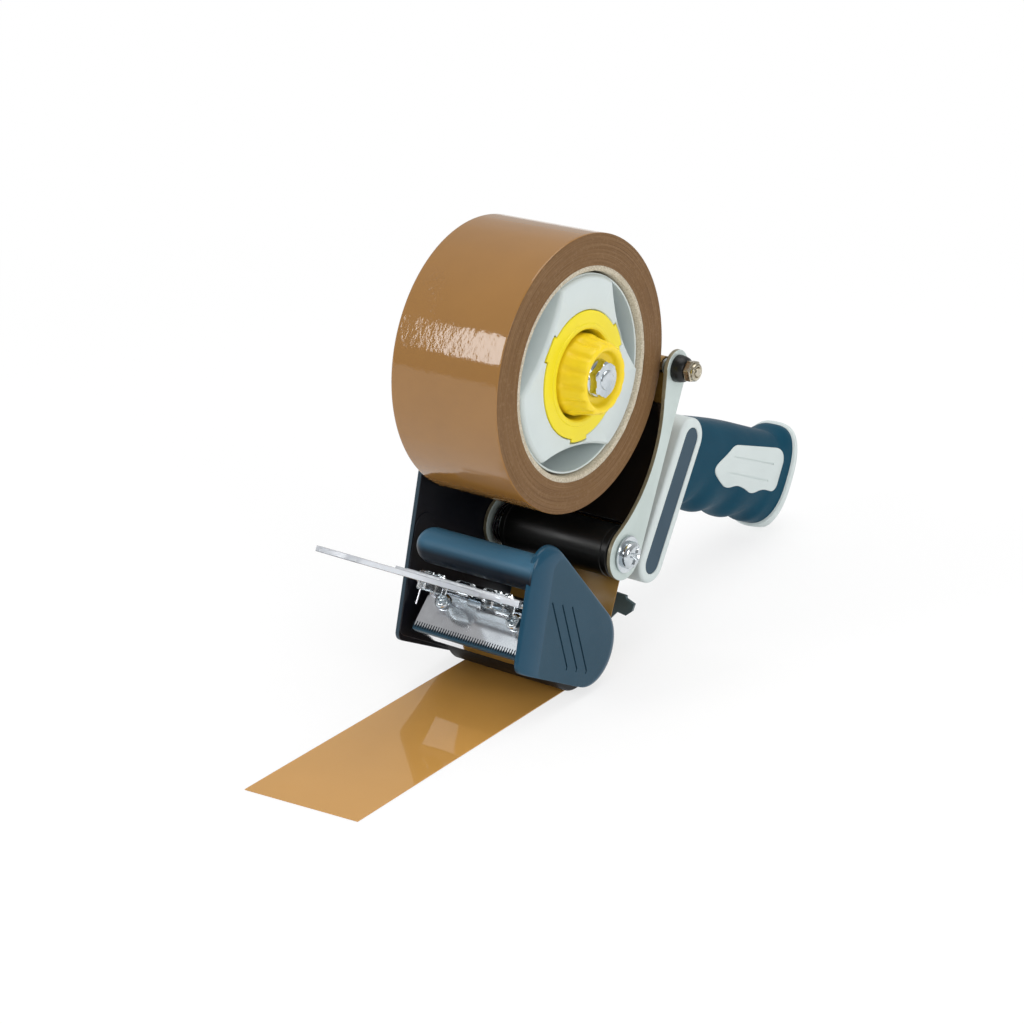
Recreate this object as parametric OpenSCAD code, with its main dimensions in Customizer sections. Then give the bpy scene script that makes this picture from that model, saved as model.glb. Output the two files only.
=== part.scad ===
// Hand-held packing tape dispenser with a curved tension arm, loaded and with a tongue of tape out.
// Millimetres. +X is the way the tape leaves, +Z is up, +Y is the open side that the roll goes on from.
// The origin is on the surface the tape is stuck to, under the nose and in the middle of the roll.

/* [Tape] */
// Width of the packing tape
tape_w = 50; // [46:1:51]
// Outside radius of the roll of tape
roll_r = 54.6; // [52:0.2:54.6]
// Radius of the hole in the cardboard core
core_bore_r = 38.1; // [38.1:0.1:38.6]
// Thickness of the cardboard core
core_t = 4; // [2:0.5:6]
// Thickness the tape film is drawn at
film_t = 0.4; // [0.3:0.05:0.5]
// Length of tape that lies in front of the nose, along its longer edge
strip_l = 136.6; // [80:0.2:160]
// How much shorter the nearer edge of that tape is, where it was cut askew
strip_skew = 5.3; // [0:0.1:12]
// How far the tape in front of the nose has wandered towards the side plate
strip_shift = 1.5; // [0:0.1:1.5]

/* [Places] */
// Roll axis, forward of the origin
roll_x = -12; // [-12.5:0.1:-11.5]
// Height of the roll axis
roll_z = 129.2; // [129:0.1:131]
// Guide roller axis, forward of the origin
guide_x = -31.3; // [-31.8:0.1:-31]
// Height of the guide roller axis
guide_z = 49.3; // [48.8:0.1:49.6]
// Applicator roller axis, behind the origin
applicator_back = 2; // [1:0.1:3]

/* [Side plate] */
// Thickness of the steel side plate
side_t = 2; // [1.5:0.1:3]
// Room between the roll and the side plate
side_gap = 7.4; // [7.2:0.1:9]
// Radius of the side plate's round top
side_top_r = 16; // [12:0.5:20]
// Size of the nose, from the applicator axis to the top of its near cheek, that its outlines follow
nose_h = 60; // [58:0.5:61]

/* [Nose housing] */
// Thickness of the nose's far wall
far_wall_t = 2.8; // [2:0.1:3.2]
// Inner face of the near cheek, outside the tape's edge
cheek_gap = 3; // [2.8:0.1:4]
// Thickness of the near cheek
cheek_t = 3; // [2.5:0.1:4]
// How far the cheek's front flange curls in behind the cheek's inner face
flange_depth = 4; // [2:0.1:4.2]
// Thickness of that flange
flange_t = 3; // [2:0.1:4]
// Radius of the finger bar across the top of the nose
bar_r = 6.8; // [5:0.1:7]
// Width of the three grooves in the cheek
groove_w = 0.8; // [0.4:0.1:1.2]
// Depth of those grooves
groove_depth = 0.5; // [0.2:0.1:1]
// Thickness of the shelf that carries the blade
shelf_t = 2.6; // [2:0.1:3]
// Depth of the shelf, from the teeth back
shelf_l = 20; // [19:0.5:22]
// How far the shelf's lip stands ahead of the teeth
lip_l = 1.2; // [0.8:0.1:2]

/* [Blade] */
// Thickness of the blade
blade_t = 0.8; // [0.5:0.1:1]
// Depth of the blade, from the teeth back
blade_l = 18; // [16:0.5:18.5]
// How much wider than the tape the blade is
blade_over = 1.6; // [-2:0.2:1.6]
// Pitch of the teeth
tooth_pitch = 1.2; // [1:0.1:2]
// Depth of the teeth
tooth_depth = 1.2; // [0.6:0.1:1.6]
// Lean of the blade below the horizontal
blade_lean = 43; // [42:0.5:44]
// Screws, from the teeth back
screw_back = 12.6; // [12:0.1:13]
// Screws, each side of the middle, as a share of the tape's width
screw_side_share = 0.35; // [0.32:0.01:0.38]
// Radius of the screws' shanks
screw_r = 1.9; // [1.5:0.1:2]
// Radius of the screws' heads
head_r = 3.4; // [3:0.1:3.6]
// Height of the screws' heads
head_h = 2.2; // [1.8:0.1:2.4]
// Thickness of the polished plate under the lip
wiper_t = 1.2; // [0.8:0.1:1.4]

/* [Rollers] */
// Radius of the applicator roller
applicator_r = 15.2; // [14.8:0.1:15.4]
// Radius of the applicator roller's axle
applicator_axle_r = 4; // [3:0.1:5]
// Radius of the guide roller
guide_r = 10.6; // [10.2:0.1:10.7]
// Radius of the guide roller's axle, which the arm swings on
guide_axle_r = 5; // [4:0.1:5.5]
// Radius of the silencer roller that rides on the roll of tape
silencer_r = 3.2; // [3:0.1:3.2]
// Radius of the bolt the silencer roller turns on
arm_bolt_r = 2; // [1.6:0.1:2]

/* [Arm] */
// Distance between the arm's two axes
arm_l = 76.9; // [76.5:0.1:77.2]
// Lean of the arm back from upright
arm_lean = 29.1; // [28.8:0.1:30]
// Thickness of the arm's plates
arm_t = 1.8; // [1.4:0.1:1.8]
// Radius of the eye round the guide axle
arm_low_r = 11; // [10.6:0.1:11.2]
// Radius of the eye round the silencer bolt
arm_top_r = 7.5; // [6:0.1:8]
// Radius of the arm's concave front edge
arm_curve_r = 55.6; // [55.2:0.1:55.8]
// Inner face of the near arm plate, outside the tape's edge
arm_gap = 4.2; // [4:0.1:4.5]
// Radius of the glossy plate's front face, about the same centre as the concave edge
shield_r = 58; // [57.8:0.1:58.2]
// Thickness of the glossy plate
shield_t = 1.5; // [1:0.1:1.6]
// Radius of the arm spring's wire
wire_r = 0.55; // [0.45:0.05:0.6]
// Pitch of the arm spring's curls
wire_pitch = 1.65; // [1.6:0.05:1.75]

/* [Roll hub] */
// Radius of the axle's shoulder that the hub turns on
shoulder_r = 6; // [5:0.1:7]
// Radius of the axle's threaded stud
stud_r = 4; // [3:0.1:4.5]
// Depth of the cut-outs between the hub's three lobes, at their middle
scallop_depth = 9.4; // [8:0.1:9.8]
// Radius of those cut-outs
scallop_r = 78; // [70:1:90]
// Radius of the yellow disc
disc_r = 25; // [24:0.1:25]
// Thickness of the yellow disc
disc_t = 2.5; // [1.5:0.1:2.6]
// Radius of the brake knob at its front
knob_r = 13.6; // [12:0.1:14]
// Number of the knob's flutes
knob_flutes = 14; // [10:1:16]
// Outside radius of the brake's washers
washer_r = 14; // [10:0.5:15]

/* [Guard] */
// Rise of the clear guard above the horizontal
guard_rise = 29.8; // [29:0.1:31]
// Thickness of the guard's tongue
tongue_t = 2.2; // [1.6:0.1:2.4]
// Thickness of the guard's base, which lies on the tongue
base_t = 1; // [0.8:0.1:1.2]
// How much narrower than the tape the guard's base is
base_under = 5; // [5:0.5:10]
// Depth of the guard's base
base_l = 16.6; // [14:0.2:18]
// Width of the tongue
tongue_w = 21; // [16:1:24]
// Reach of the tongue from the guard's pivot
tongue_l = 92; // [60:1:95]
// Radius of the two round studs under the guard
guard_stud_r = 6; // [5:0.1:6.2]
// Height of those studs
guard_stud_h = 3; // [2:0.1:3.2]

/* [Handle] */
// Distance between the round ends of the handle's head
head_l = 52.6; // [50:0.2:53]
// Thickness of the handle's head
head_t = 17.7; // [16:0.1:17.8]
// Lean of the head back from upright
head_lean = 32.8; // [32.5:0.1:34]
// Width of the panel in the head's near face
panel_w = 9.7; // [8:0.1:11]
// Slope of the grip below the horizontal
grip_slope = 24.3; // [23:0.1:24.3]
// Length of the grip, from the head to its end cap
grip_l = 114; // [104:1:115]
// Width of the grip
grip_w = 27.2; // [24:0.2:30]
// Height of the grip above its middle line
grip_up_h = 21.4; // [19:0.2:22]
// Height of the grip below its middle line
grip_down_h = 20.8; // [18:0.2:21]
// Distance between the finger grooves
finger_pitch = 25.5; // [22:0.5:27]
// Depth of the finger grooves
finger_depth = 2.6; // [1:0.1:4]

/* [Hidden] */
$fn = 96;

// Clearances: running fits, gaps between parts that move apart, and the overrun of every cut
fit = 0.05;
gap = 0.3;
over = 1;

// Places in the plane of X and Z
film_gap = 0.3;
roll = [roll_x, roll_z];
guide = [guide_x, guide_z];
applicator = [-applicator_back, applicator_r + film_gap + film_t];
silencer = guide + arm_l * [-sin(arm_lean), cos(arm_lean)];
arm_curve_back_share = 0.355;
arm_curve_up_share = 0.79;
arm_curve = guide + arm_l * [arm_curve_back_share, arm_curve_up_share];

// Stations and widths across
blade_w = tape_w + blade_over;
screw_side = screw_side_share * tape_w;
base_w = tape_w - base_under;
stud_side_share = 0.33;
stud_side = stud_side_share * tape_w;
side_in = -tape_w / 2 - side_gap;
side_out = side_in - side_t;
far_wall_in = side_in + far_wall_t;
arm_far_out = side_in + gap;
arm_far_in = arm_far_out + arm_t;
arm_near_in = tape_w / 2 + arm_gap;
arm_near_out = arm_near_in + arm_t;
cheek_in = tape_w / 2 + cheek_gap;
cheek_out = cheek_in + cheek_t;

// Outline circles of the nose, as shares of its size: forward of the applicator axis, up, radius
cheek_shares = [[-0.05, 0.043, 0.267], [0.655, 0.218, 0.083], [0.408, 0.76, 0.167]];
cheek_face_shares = [[-0.05, 0.043, 0.267], [0.46, 0.073, 0.05], [0.243, 0.692, 0.083]];
far_wall_shares = [[0, 0, 0.21], [0.55, 0.16, 0.067], [0.32, 0.79, 0.1]];
side_low_shares = [[-0.517, 0.085, 0.15], [0, 0, 0.225], [0.558, 0.122, 0.067]];
bar_share = [0.475, 0.76];
blade_share = [0.605, 0.215];
pivot_share = [0.45, 0.495];
wiper_shares = [[0.577, 0.159], [0.41, 0.027]];
groove_top_share = [0.343, 0.515];
groove_low_share = [0.197, -0.003];
groove_step_share = [-0.108, -0.056];
bar = applicator + nose_h * bar_share;
teeth = applicator + nose_h * blade_share;
pivot = applicator + nose_h * pivot_share;
wiper = [for (s = wiper_shares) applicator + nose_h * s];
wiper_dir = (wiper[1] - wiper[0]) / norm(wiper[1] - wiper[0]);
wiper_behind = [wiper_dir[1], -wiper_dir[0]];

// Small sizes of the roll's axle, hub and brake
axle_collar_r = 10;
axle_collar_t = 4.6;
hub_flange_r = 44;
hub_flange_t = 2;
hub_wall = 2.6;
hub_rib = 3;
hub_ring_t = 1.5;
hub_ring_set = 1;
hub_face_t = 2;
tab_length = 1.4;
tab_half_angle = 11;
hub_boss_r = 22.4;
brake_room_r = 19.6;
brake_floor = 10;
disc_hole_r = 17.6;
washer_t = 1;
pressure_t = 1.2;
brake_wire_r = 0.8;
brake_coil_r = 9;
brake_coil_pitch = 2.4;
brake_coil_turns = 2.25;
hub_front = tape_w / 2 - 0.4 * gap;
hub_back = -tape_w / 2 - gap;
disc_front = hub_front + gap;
disc_back = disc_front - disc_t;
friction_y = brake_floor + gap;
spring_y = friction_y + washer_t + gap;
pressure_y = spring_y + brake_coil_turns * brake_coil_pitch + 2 * brake_wire_r + gap;
knob_back = pressure_y + pressure_t + gap;
knob_mid = disc_front + gap;
knob_h = 10;
knob_front = knob_mid + knob_h;
knob_back_grow = 2.2;
knob_edge = 1;
knob_dish_depth = 4;
knob_dish_r = 10.7;
flute_foot = 2.2;
nut_flange_t = 1.2;
bar_room = 2;
applicator_end_gap = 0.6;
end_dish = 2;
rubber_t = 2.4;
nut_h = 3.8;
nut_across = 13;

// Small sizes of the arm
bolt_head_r = 3.6;
bolt_head_h = 2.6;
bush_r = 5.1;
bush_l = 5;
arm_nut_across = 8;
arm_nut_h = 4.6;
silencer_w = tape_w + 2;
shield_from_angle = 187;
shield_to_angle = 238;
arm_curve_from_angle = 184;
arm_curve_to_angle = 245.8;
arm_screw_r = 5.6;
arm_screw_h = 2.8;
arm_washer_r = 7.6;
arm_washer_t = 1.1;
pin_head_h = 2.4;

// Small sizes of the guard
guard_pin_r = 1.5;
knuckle_r = 2.8;
knuckle_l = 7;
knuckle_side = stud_side - guard_stud_r - gap - knuckle_l / 2;
guard_low = -1.86;
base_back = 2;
stud_forward = 7.6;
clip_size = [4.4, 8, 1.2];
guard_wire_r = 0.4;
guard_coil_r = 2.5;
guard_coil_pitch = 1.25;
guard_coil_turns = 2;
guard_leg_l = 11;

// Places and small sizes of the handle
head_back_gap = 19.35;
head_drop = 10.8;
head_low = guide - [head_back_gap, head_drop];
head_dir = [-sin(head_lean), cos(head_lean)];
head_high = head_low + head_l * head_dir;
head_near = cheek_out;
head_floor = 3;
head_room_r = 4;
panel_t = 1;
grip_root_share = 0.825;
grip_root_in = 6.5;
grip_root = head_low + grip_root_share * head_l * head_dir - grip_root_in * [cos(head_lean), sin(head_lean)];
grip_start = 7;
grip_rings = 34;
grip_sides = 28;
cap_l = 13;
cap_grow = 1.4;
core_r = 8.5;
neck_r = 13;
handle_bolt_r = 3;
handle_bolt_l = 70;
palm_flare = 4;
neck_drop = 3.4;
butt_tilt_share = 0.12;
plaque_t = 2.4;
plaque_sink = 2.2;

// Unit vector along v
function unit(v) = v / norm(v);

// Angle of the outward normal of the line that touches circles a and b, each x, z, radius
function touch(a, b) = atan2(b[1] - a[1], b[0] - a[0])
    - acos((a[2] - b[2]) / norm([b[0] - a[0], b[1] - a[1]]));

// Points of the closed outline that wraps a ring of circles, taken anticlockwise
function wrap(cs, n = 14) = [for (i = [0 : len(cs) - 1])
    let (c = cs[i], from = touch(cs[(i + len(cs) - 1) % len(cs)], c), to = touch(c, cs[(i + 1) % len(cs)]),
        sweep = ((to - from) % 360 + 360) % 360)
    each [for (k = [0 : n]) [c[0], c[1]] + c[2] * [cos(from + sweep * k / n), sin(from + sweep * k / n)]]];

// Circles of the nose at their real places
function on_nose(shares) = [for (s = shares) [applicator[0] + nose_h * s[0],
    applicator[1] + nose_h * s[1], nose_h * s[2]]];

// Points of an arc
function arc(c, r, from, to, n) = [for (k = [0 : n])
    let (a = from + (to - from) * k / n) c + r * [cos(a), sin(a)]];

// Outline of a thin ribbon of thickness t along a list of points
function side_of(p, i) = let (d = unit(p[min(i + 1, len(p) - 1)] - p[max(i - 1, 0)])) [-d[1], d[0]];
function ribbon(p, t) = concat([for (i = [0 : len(p) - 1]) p[i] + side_of(p, i) * t / 2],
    [for (i = [len(p) - 1 : -1 : 0]) p[i] - side_of(p, i) * t / 2]);

// Smooth step from 0 to 1 as x goes from a to b
function ease(a, b, x) = let (s = min(1, max(0, (x - a) / (b - a)))) s * s * (3 - 2 * s);

// Extrudes an outline drawn in X and Z between two stations of Y
module slab(y1, y2) {
    translate([0, y2, 0]) rotate([90, 0, 0]) linear_extrude(y2 - y1) children();
}

// Round bar across the width at place p
module rod(p, r, y1, y2) {
    translate([p[0], y2, p[1]]) rotate([90, 0, 0]) cylinder(r = r, h = y2 - y1);
}

// Solid turned about the axis at place p, from points given as radius and Y
module turned(p, points) {
    translate([p[0], 0, p[1]]) rotate([-90, 0, 0]) rotate_extrude() polygon(points);
}

// Hexagonal prism across the width, a being its size across the flats
module hexagon(p, a, y1, y2) {
    translate([p[0], y2, p[1]]) rotate([90, 0, 0]) cylinder(r = a / sqrt(3), h = y2 - y1, $fn = 6);
}

// Round tube along a list of points
module tube(points, r, sides) {
    n = len(points);
    rings = [for (i = [0 : n - 1])
        let (t = unit(points[min(i + 1, n - 1)] - points[max(i - 1, 0)]), u = unit(cross(t, [0, 1, 0])),
            v = cross(t, u))
        each [for (k = [0 : sides - 1])
            points[i] + r * (cos(360 * k / sides) * u + sin(360 * k / sides) * v)]];
    walls = [for (i = [0 : n - 2], k = [0 : sides - 1])
        let (a = i * sides + k, b = i * sides + (k + 1) % sides)
        each [[a, b + sides, b], [a, a + sides, b + sides]]];
    start = [for (k = [1 : sides - 2]) [0, k, k + 1]];
    end = [for (k = [1 : sides - 2]) (n - 1) * sides * [1, 1, 1] + [0, k + 1, k]];
    polyhedron(points = rings, faces = concat(start, walls, end));
}

// Points of a coil about the axis at place p
function coil(p, r, pitch, turns, y, from, n = 8) = [for (i = [0 : turns * n])
    let (a = from + 360 * i / n) [p[0] + r * cos(a), y + pitch * i / n, p[1] + r * sin(a)]];

// Least gap of a tube to itself, between points at least most of a turn apart
function own_gap(points, r, turn = 6) = min([for (i = [0 : len(points) - 1 - turn])
    for (j = [i + turn : len(points) - 1]) norm(points[i] - points[j])]) - 2 * r;

// Puts children in the blade's own axes: x runs down past the teeth, z out of its upper face
module on_blade() {
    translate([teeth[0], 0, teeth[1]]) rotate([0, blade_lean, 0]) children();
}

// Puts children in the guard's own axes: x runs along the tongue from the pivot
module on_guard() {
    translate([pivot[0], 0, pivot[1]]) rotate([0, -guard_rise, 0]) children();
}

// Puts children on the grip's middle line, z running back along it, x up and y across
module on_grip() {
    translate([grip_root[0], 0, grip_root[1]]) rotate([0, -90 - grip_slope, 0]) children();
}

// Steel side plate that carries everything, on the far side
module side_plate() {
    color("#1c2630") difference() {
        slab(side_out, side_in) polygon(wrap(concat(on_nose(side_low_shares), [
            [roll[0], roll[1], side_top_r], [head_high[0], head_high[1], head_t / 2]])));
        rod(roll, stud_r + fit, side_out - over, side_in + over);
        rod(guide, guide_axle_r, side_out - over, side_in + over);
        rod(applicator, applicator_axle_r, side_out - over, side_in + over);
        for (p = head_screw_places) rod(p, screw_r + fit, side_out - over, side_in + over);
    }
}

// Stepped guard plate behind the tape, standing off the side plate
guide_plate_back = 6.7;
guide_plate_t = 1.5;
guide_plate_h = 15.5;
guide_plate_z = 11.5;
tab_reach = 7.9;
tab_shares = [[0, 0.13], [0.61, 0.48], [1.13, 0.44], [1.14, 0.44], [1.51, 0.6], [1.66, 0.82], [1.16, 0.92],
    [1.16, 1], [0.52, 1.02], [0, 1]];
module rear_guide() {
    low = tape_w / 2 - tab_reach;
    color("#3d5a60") translate([guide[0] - guide_plate_back - guide_plate_t, 0, guide_plate_z])
        rotate([90, 0, 90]) linear_extrude(guide_plate_t)
            polygon(concat([[side_in, guide_plate_h], [side_in, tab_shares[0][1] * guide_plate_h]],
                [for (s = tab_shares) [low + tab_reach * s[0], guide_plate_h * s[1]]]));
}

// Near cheek: its face is set back from the front edge, and a flange curls in behind that edge
module cheek() {
    low = cheek_in - flange_depth;
    room = on_nose(cheek_shares);
    difference() {
        hull() {
            slab(low, cheek_in - gap) polygon(wrap(on_nose(cheek_shares)));
            slab(cheek_out - gap, cheek_out) polygon(wrap(on_nose(cheek_face_shares)));
        }
        slab(low - over, cheek_in) polygon(wrap([room[0] + [0, 0, over], room[1] - [0, 0, flange_t],
            room[2] - [0, 0, flange_t]]));
        for (k = [0 : 2]) groove(applicator + nose_h * (groove_top_share + k * groove_step_share),
            applicator + nose_h * (groove_low_share + k * groove_step_share));
    }
}

// One straight groove in the cheek's face, from place a to place b
module groove(a, b) {
    slab(cheek_out - groove_depth, cheek_out + over) polygon(ribbon([a, b], groove_w));
}

// Shelf that carries the blade, between the far wall and the cheek
module shelf() {
    on_blade() translate([-shelf_l, far_wall_in - gap, -blade_t - shelf_t])
        cube([shelf_l + lip_l, cheek_in - far_wall_in + 2 * gap, shelf_t]);
}

// Moulded nose: far wall, near cheek, finger bar and the shelf
module nose_housing() {
    bar_low = far_wall_in + bar_room;
    bar_round = 0.6 * bar_r;
    color("#45606f") difference() {
        union() {
            slab(side_in, far_wall_in) polygon(wrap(on_nose(far_wall_shares)));
            cheek();
            turned(bar, concat([[0, bar_low]],
                arc([bar_r - bar_round, bar_low + bar_round], bar_round, -90, 0, 8),
                [[bar_r, cheek_in + gap], [0, cheek_in + gap]]));
            shelf();
            slab(far_wall_in - gap, cheek_in + gap) polygon(ribbon([for (w = wiper)
                w + (wiper_t + shelf_t / 2) * wiper_behind], shelf_t));
        }
        rod(applicator, applicator_axle_r, side_in - over, cheek_in + 0.6 * cheek_t);
        rod(pivot, guard_pin_r, side_in + far_wall_t / 2, cheek_in + cheek_t / 2);
        for (s = [-1, 1]) on_blade() translate([-screw_back, s * screw_side, -blade_t - shelf_t - over])
            cylinder(r = screw_r, h = shelf_t + 2 * over);
    }
}

// Toothed cutting blade
module blade() {
    count = round(blade_w / tooth_pitch);
    pitch = blade_w / count;
    color("#8b9093") on_blade() translate([0, 0, -blade_t]) difference() {
        linear_extrude(blade_t) polygon(concat([[-blade_l, -blade_w / 2]],
            [for (k = [0 : count - 1]) each [[-tooth_depth, (k - count / 2) * pitch],
                [0, (k + 0.5 - count / 2) * pitch]]],
            [[-tooth_depth, blade_w / 2], [-blade_l, blade_w / 2]]));
        for (s = [-1, 1]) translate([-screw_back, s * screw_side, -over])
            cylinder(r = screw_r + fit, h = blade_t + 2 * over);
    }
}

// Pan-head screw standing on its seat at height zero, with a cross recess
module pan_screw(shank) {
    slot = [head_r, head_r / 4, head_h];
    difference() {
        union() {
            rotate_extrude() polygon(concat([[0, 0], [head_r, 0]], arc([0, head_h / 4], head_r, 0, 40, 5),
                [[0, head_h]]));
            translate([0, 0, -shank]) cylinder(r = screw_r, h = shank + head_h / 2);
        }
        for (a = [0, 90]) rotate([0, 0, a]) translate([-slot[0] / 2, -slot[1] / 2, head_h / 2])
            cube(slot);
    }
}

// The two screws that hold the blade
module blade_screws() {
    color("#c4ccce") on_blade() for (s = [-1, 1]) translate([-screw_back, s * screw_side, 0])
        pan_screw(blade_t + shelf_t + over);
}

// Polished plate under the lip that wipes the tape down
module wiper_plate() {
    color("#d5d6dc") difference() {
        slab(-blade_w / 2, cheek_in - flange_depth - gap) polygon(ribbon([for (w = wiper)
            w + wiper_t / 2 * wiper_behind], wiper_t));
        shelf();
    }
}

// Rubber-faced roller that presses the tape down
module applicator_roller() {
    low = far_wall_in + 4 * applicator_end_gap;
    high = cheek_in - applicator_end_gap;
    color("#141618") difference() {
        rod(applicator, applicator_r, low, high);
        rod(applicator, applicator_axle_r + fit, low - over, high + over);
        for (y = [low - over, high - end_dish]) difference() {
            rod(applicator, applicator_r - rubber_t, y, y + end_dish + over);
            rod(applicator, applicator_axle_r + end_dish, y - over, y + end_dish + 2 * over);
        }
    }
}

// Fixed axle of the applicator roller, headed behind the side plate
module applicator_axle() {
    r = applicator_axle_r;
    color("#a9b0b4") turned(applicator, [[0, side_out - pin_head_h], [1.6 * r, side_out - pin_head_h],
        [1.6 * r, side_out], [r, side_out], [r, cheek_in + 0.6 * cheek_t], [0, cheek_in + 0.6 * cheek_t]]);
}

// Fixed axle of the guide roller and the arm, headed behind the side plate
module guide_axle() {
    r = guide_axle_r;
    color("#a9b0b4") turned(guide, [[0, side_out - pin_head_h], [1.6 * r, side_out - pin_head_h],
        [1.6 * r, side_out], [r, side_out], [r, arm_near_out + gap], [0, arm_near_out + gap]]);
}

// Washer over the near arm's eye
module arm_washer() {
    y = arm_near_out + gap;
    color("#c3ccd0") difference() {
        rod(guide, arm_washer_r, y, y + arm_washer_t);
        rod(guide, screw_r + fit, y - over, y + arm_washer_t + over);
    }
}

// Pan-head screw in the end of the guide axle
module arm_screw() {
    y = arm_near_out + gap + arm_washer_t;
    r = arm_screw_r;
    color("#cfd6d8") difference() {
        union() {
            turned(guide, concat([[0, y], [r, y]], arc([0, y + arm_screw_h / 4], r, 0, 33, 6),
                [[0, y + arm_screw_h * 1.1]]));
            rod(guide, screw_r, y - arm_washer_t, y);
        }
        for (a = [20, 110]) translate([guide[0], y + arm_screw_h * 0.8, guide[1]]) rotate([0, a, 0])
            cube([r, arm_screw_h, r / 5], center = true);
    }
}

// Black roller that the tape runs over behind
module guide_roller() {
    low = arm_far_in + spring_room;
    color("#101112") difference() {
        rod(guide, guide_r, low, arm_near_in - gap);
        rod(guide, guide_axle_r + fit, low - over, arm_near_in);
    }
}

// Torsion spring on the guide axle that presses the arm forward
spring_room = 5.4;
spring_turns = 2;
spring_r = 8.4;
arm_spring_points = let (y = arm_far_in + gap + wire_r,
        curls = coil(guide, spring_r, wire_pitch, spring_turns, y, 180))
    concat(curls, [for (k = [1 : 2]) curls[len(curls) - 1] + [0, wire_pitch / 6 * k, -k * spring_r / 3]]);
module arm_spring() {
    color("#9aa2a6") tube(arm_spring_points, wire_r, 6);
}

// Outline of one arm plate: two eyes, a straight back edge and a concave front edge
module arm_outline() {
    polygon(concat(arm_edge(), arc(arm_curve, arm_curve_r, arm_curve_to_angle, arm_curve_from_angle, 24)));
    translate(silencer) circle(arm_top_r);
    translate(guide) circle(arm_low_r);
}

// Outer side of the arm, from the top eye's front round its back to the low eye
function arm_edge() = let (n = touch([silencer[0], silencer[1], arm_top_r], [guide[0], guide[1], arm_low_r]),
        front = silencer + arm_top_r * [cos(-15), sin(-15)])
    [front, silencer, silencer + arm_top_r * [cos(n), sin(n)], guide + arm_low_r * [cos(n), sin(n)], guide];

// Arm plate on the open side
module arm_near() {
    color("#c8d2d1") difference() {
        slab(arm_near_in, arm_near_out) arm_outline();
        rod(guide, guide_axle_r + fit, arm_near_in - over, arm_near_out + over);
        rod(silencer, arm_bolt_r, arm_near_in - over, arm_near_out + over);
    }
}

// Arm plate beside the side plate
module arm_far() {
    color("#c8d2d1") difference() {
        slab(arm_far_out, arm_far_in) arm_outline();
        rod(guide, guide_axle_r + fit, arm_far_out - over, arm_far_in + over);
        rod(silencer, arm_bolt_r, arm_far_out - over, arm_far_in + over);
    }
}

// Curved glossy plate that joins the two arm plates
module arm_shield() {
    color("#0d0e0f") slab(arm_far_in, arm_near_in) polygon(concat(
        arc(arm_curve, shield_r, shield_from_angle, shield_to_angle, 24),
        arc(arm_curve, shield_r + shield_t, shield_to_angle, shield_from_angle, 24)));
}

// Bolt across the arm's top
module arm_bolt() {
    color("#b4bcc0") union() {
        rod(silencer, arm_bolt_r, arm_far_out, arm_near_out + bush_l + arm_nut_h + gap);
        rod(silencer, bolt_head_r, arm_far_out - bolt_head_h, arm_far_out);
    }
}

// Black bush between the near arm plate and the nut
module arm_bush() {
    color("#1a1c1e") difference() {
        rod(silencer, bush_r, arm_near_out, arm_near_out + bush_l);
        rod(silencer, arm_bolt_r, arm_near_out - over, arm_near_out + bush_l + over);
    }
}

// Lock nut on the arm's top bolt
module arm_nut() {
    y = arm_near_out + bush_l;
    color("#b9a98a") difference() {
        union() {
            hexagon(silencer, arm_nut_across, y, y + 0.7 * arm_nut_h);
            rod(silencer, arm_nut_across * 0.46, y, y + arm_nut_h);
        }
        rod(silencer, arm_bolt_r, y - over, y + arm_nut_h + over);
    }
}

// Thin roller that rides on the roll of tape and keeps it quiet
module silencer_roller() {
    color("#dfe3e4") difference() {
        rod(silencer, silencer_r, -silencer_w / 2, silencer_w / 2);
        rod(silencer, arm_bolt_r + fit, -silencer_w / 2 - over, silencer_w / 2 + over);
    }
}

// Stepped axle of the roll hub: threaded tail, collar, shoulder and threaded stud
module roll_axle() {
    collar = side_in + axle_collar_t;
    tail = side_out - nut_h * 2;
    color("#a9b0b4") turned(roll, [[0, tail], [stud_r, tail], [stud_r, side_in], [axle_collar_r, side_in],
        [axle_collar_r, collar], [shoulder_r, collar], [shoulder_r, brake_floor - gap],
        [stud_r, brake_floor - gap], [stud_r, knob_front - gap], [0, knob_front - gap]]);
}

// Nut that holds the roll axle to the side plate
module axle_nut() {
    y = side_out;
    color("#b9c1c4") difference() {
        hexagon(roll, nut_across, y - 1.6 * nut_h, y);
        rod(roll, stud_r + fit, y - 2 * nut_h, y + over);
    }
}

// Three-lobed outline of the hub, r being its outer radius and cut the depth of its cut-outs
module hub_outline(r, cut) {
    difference() {
        circle(r);
        for (k = [0 : 2]) rotate(38 + 120 * k)
            translate([r - cut + scallop_r, 0]) circle(scallop_r, $fn = 180);
    }
}

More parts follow.
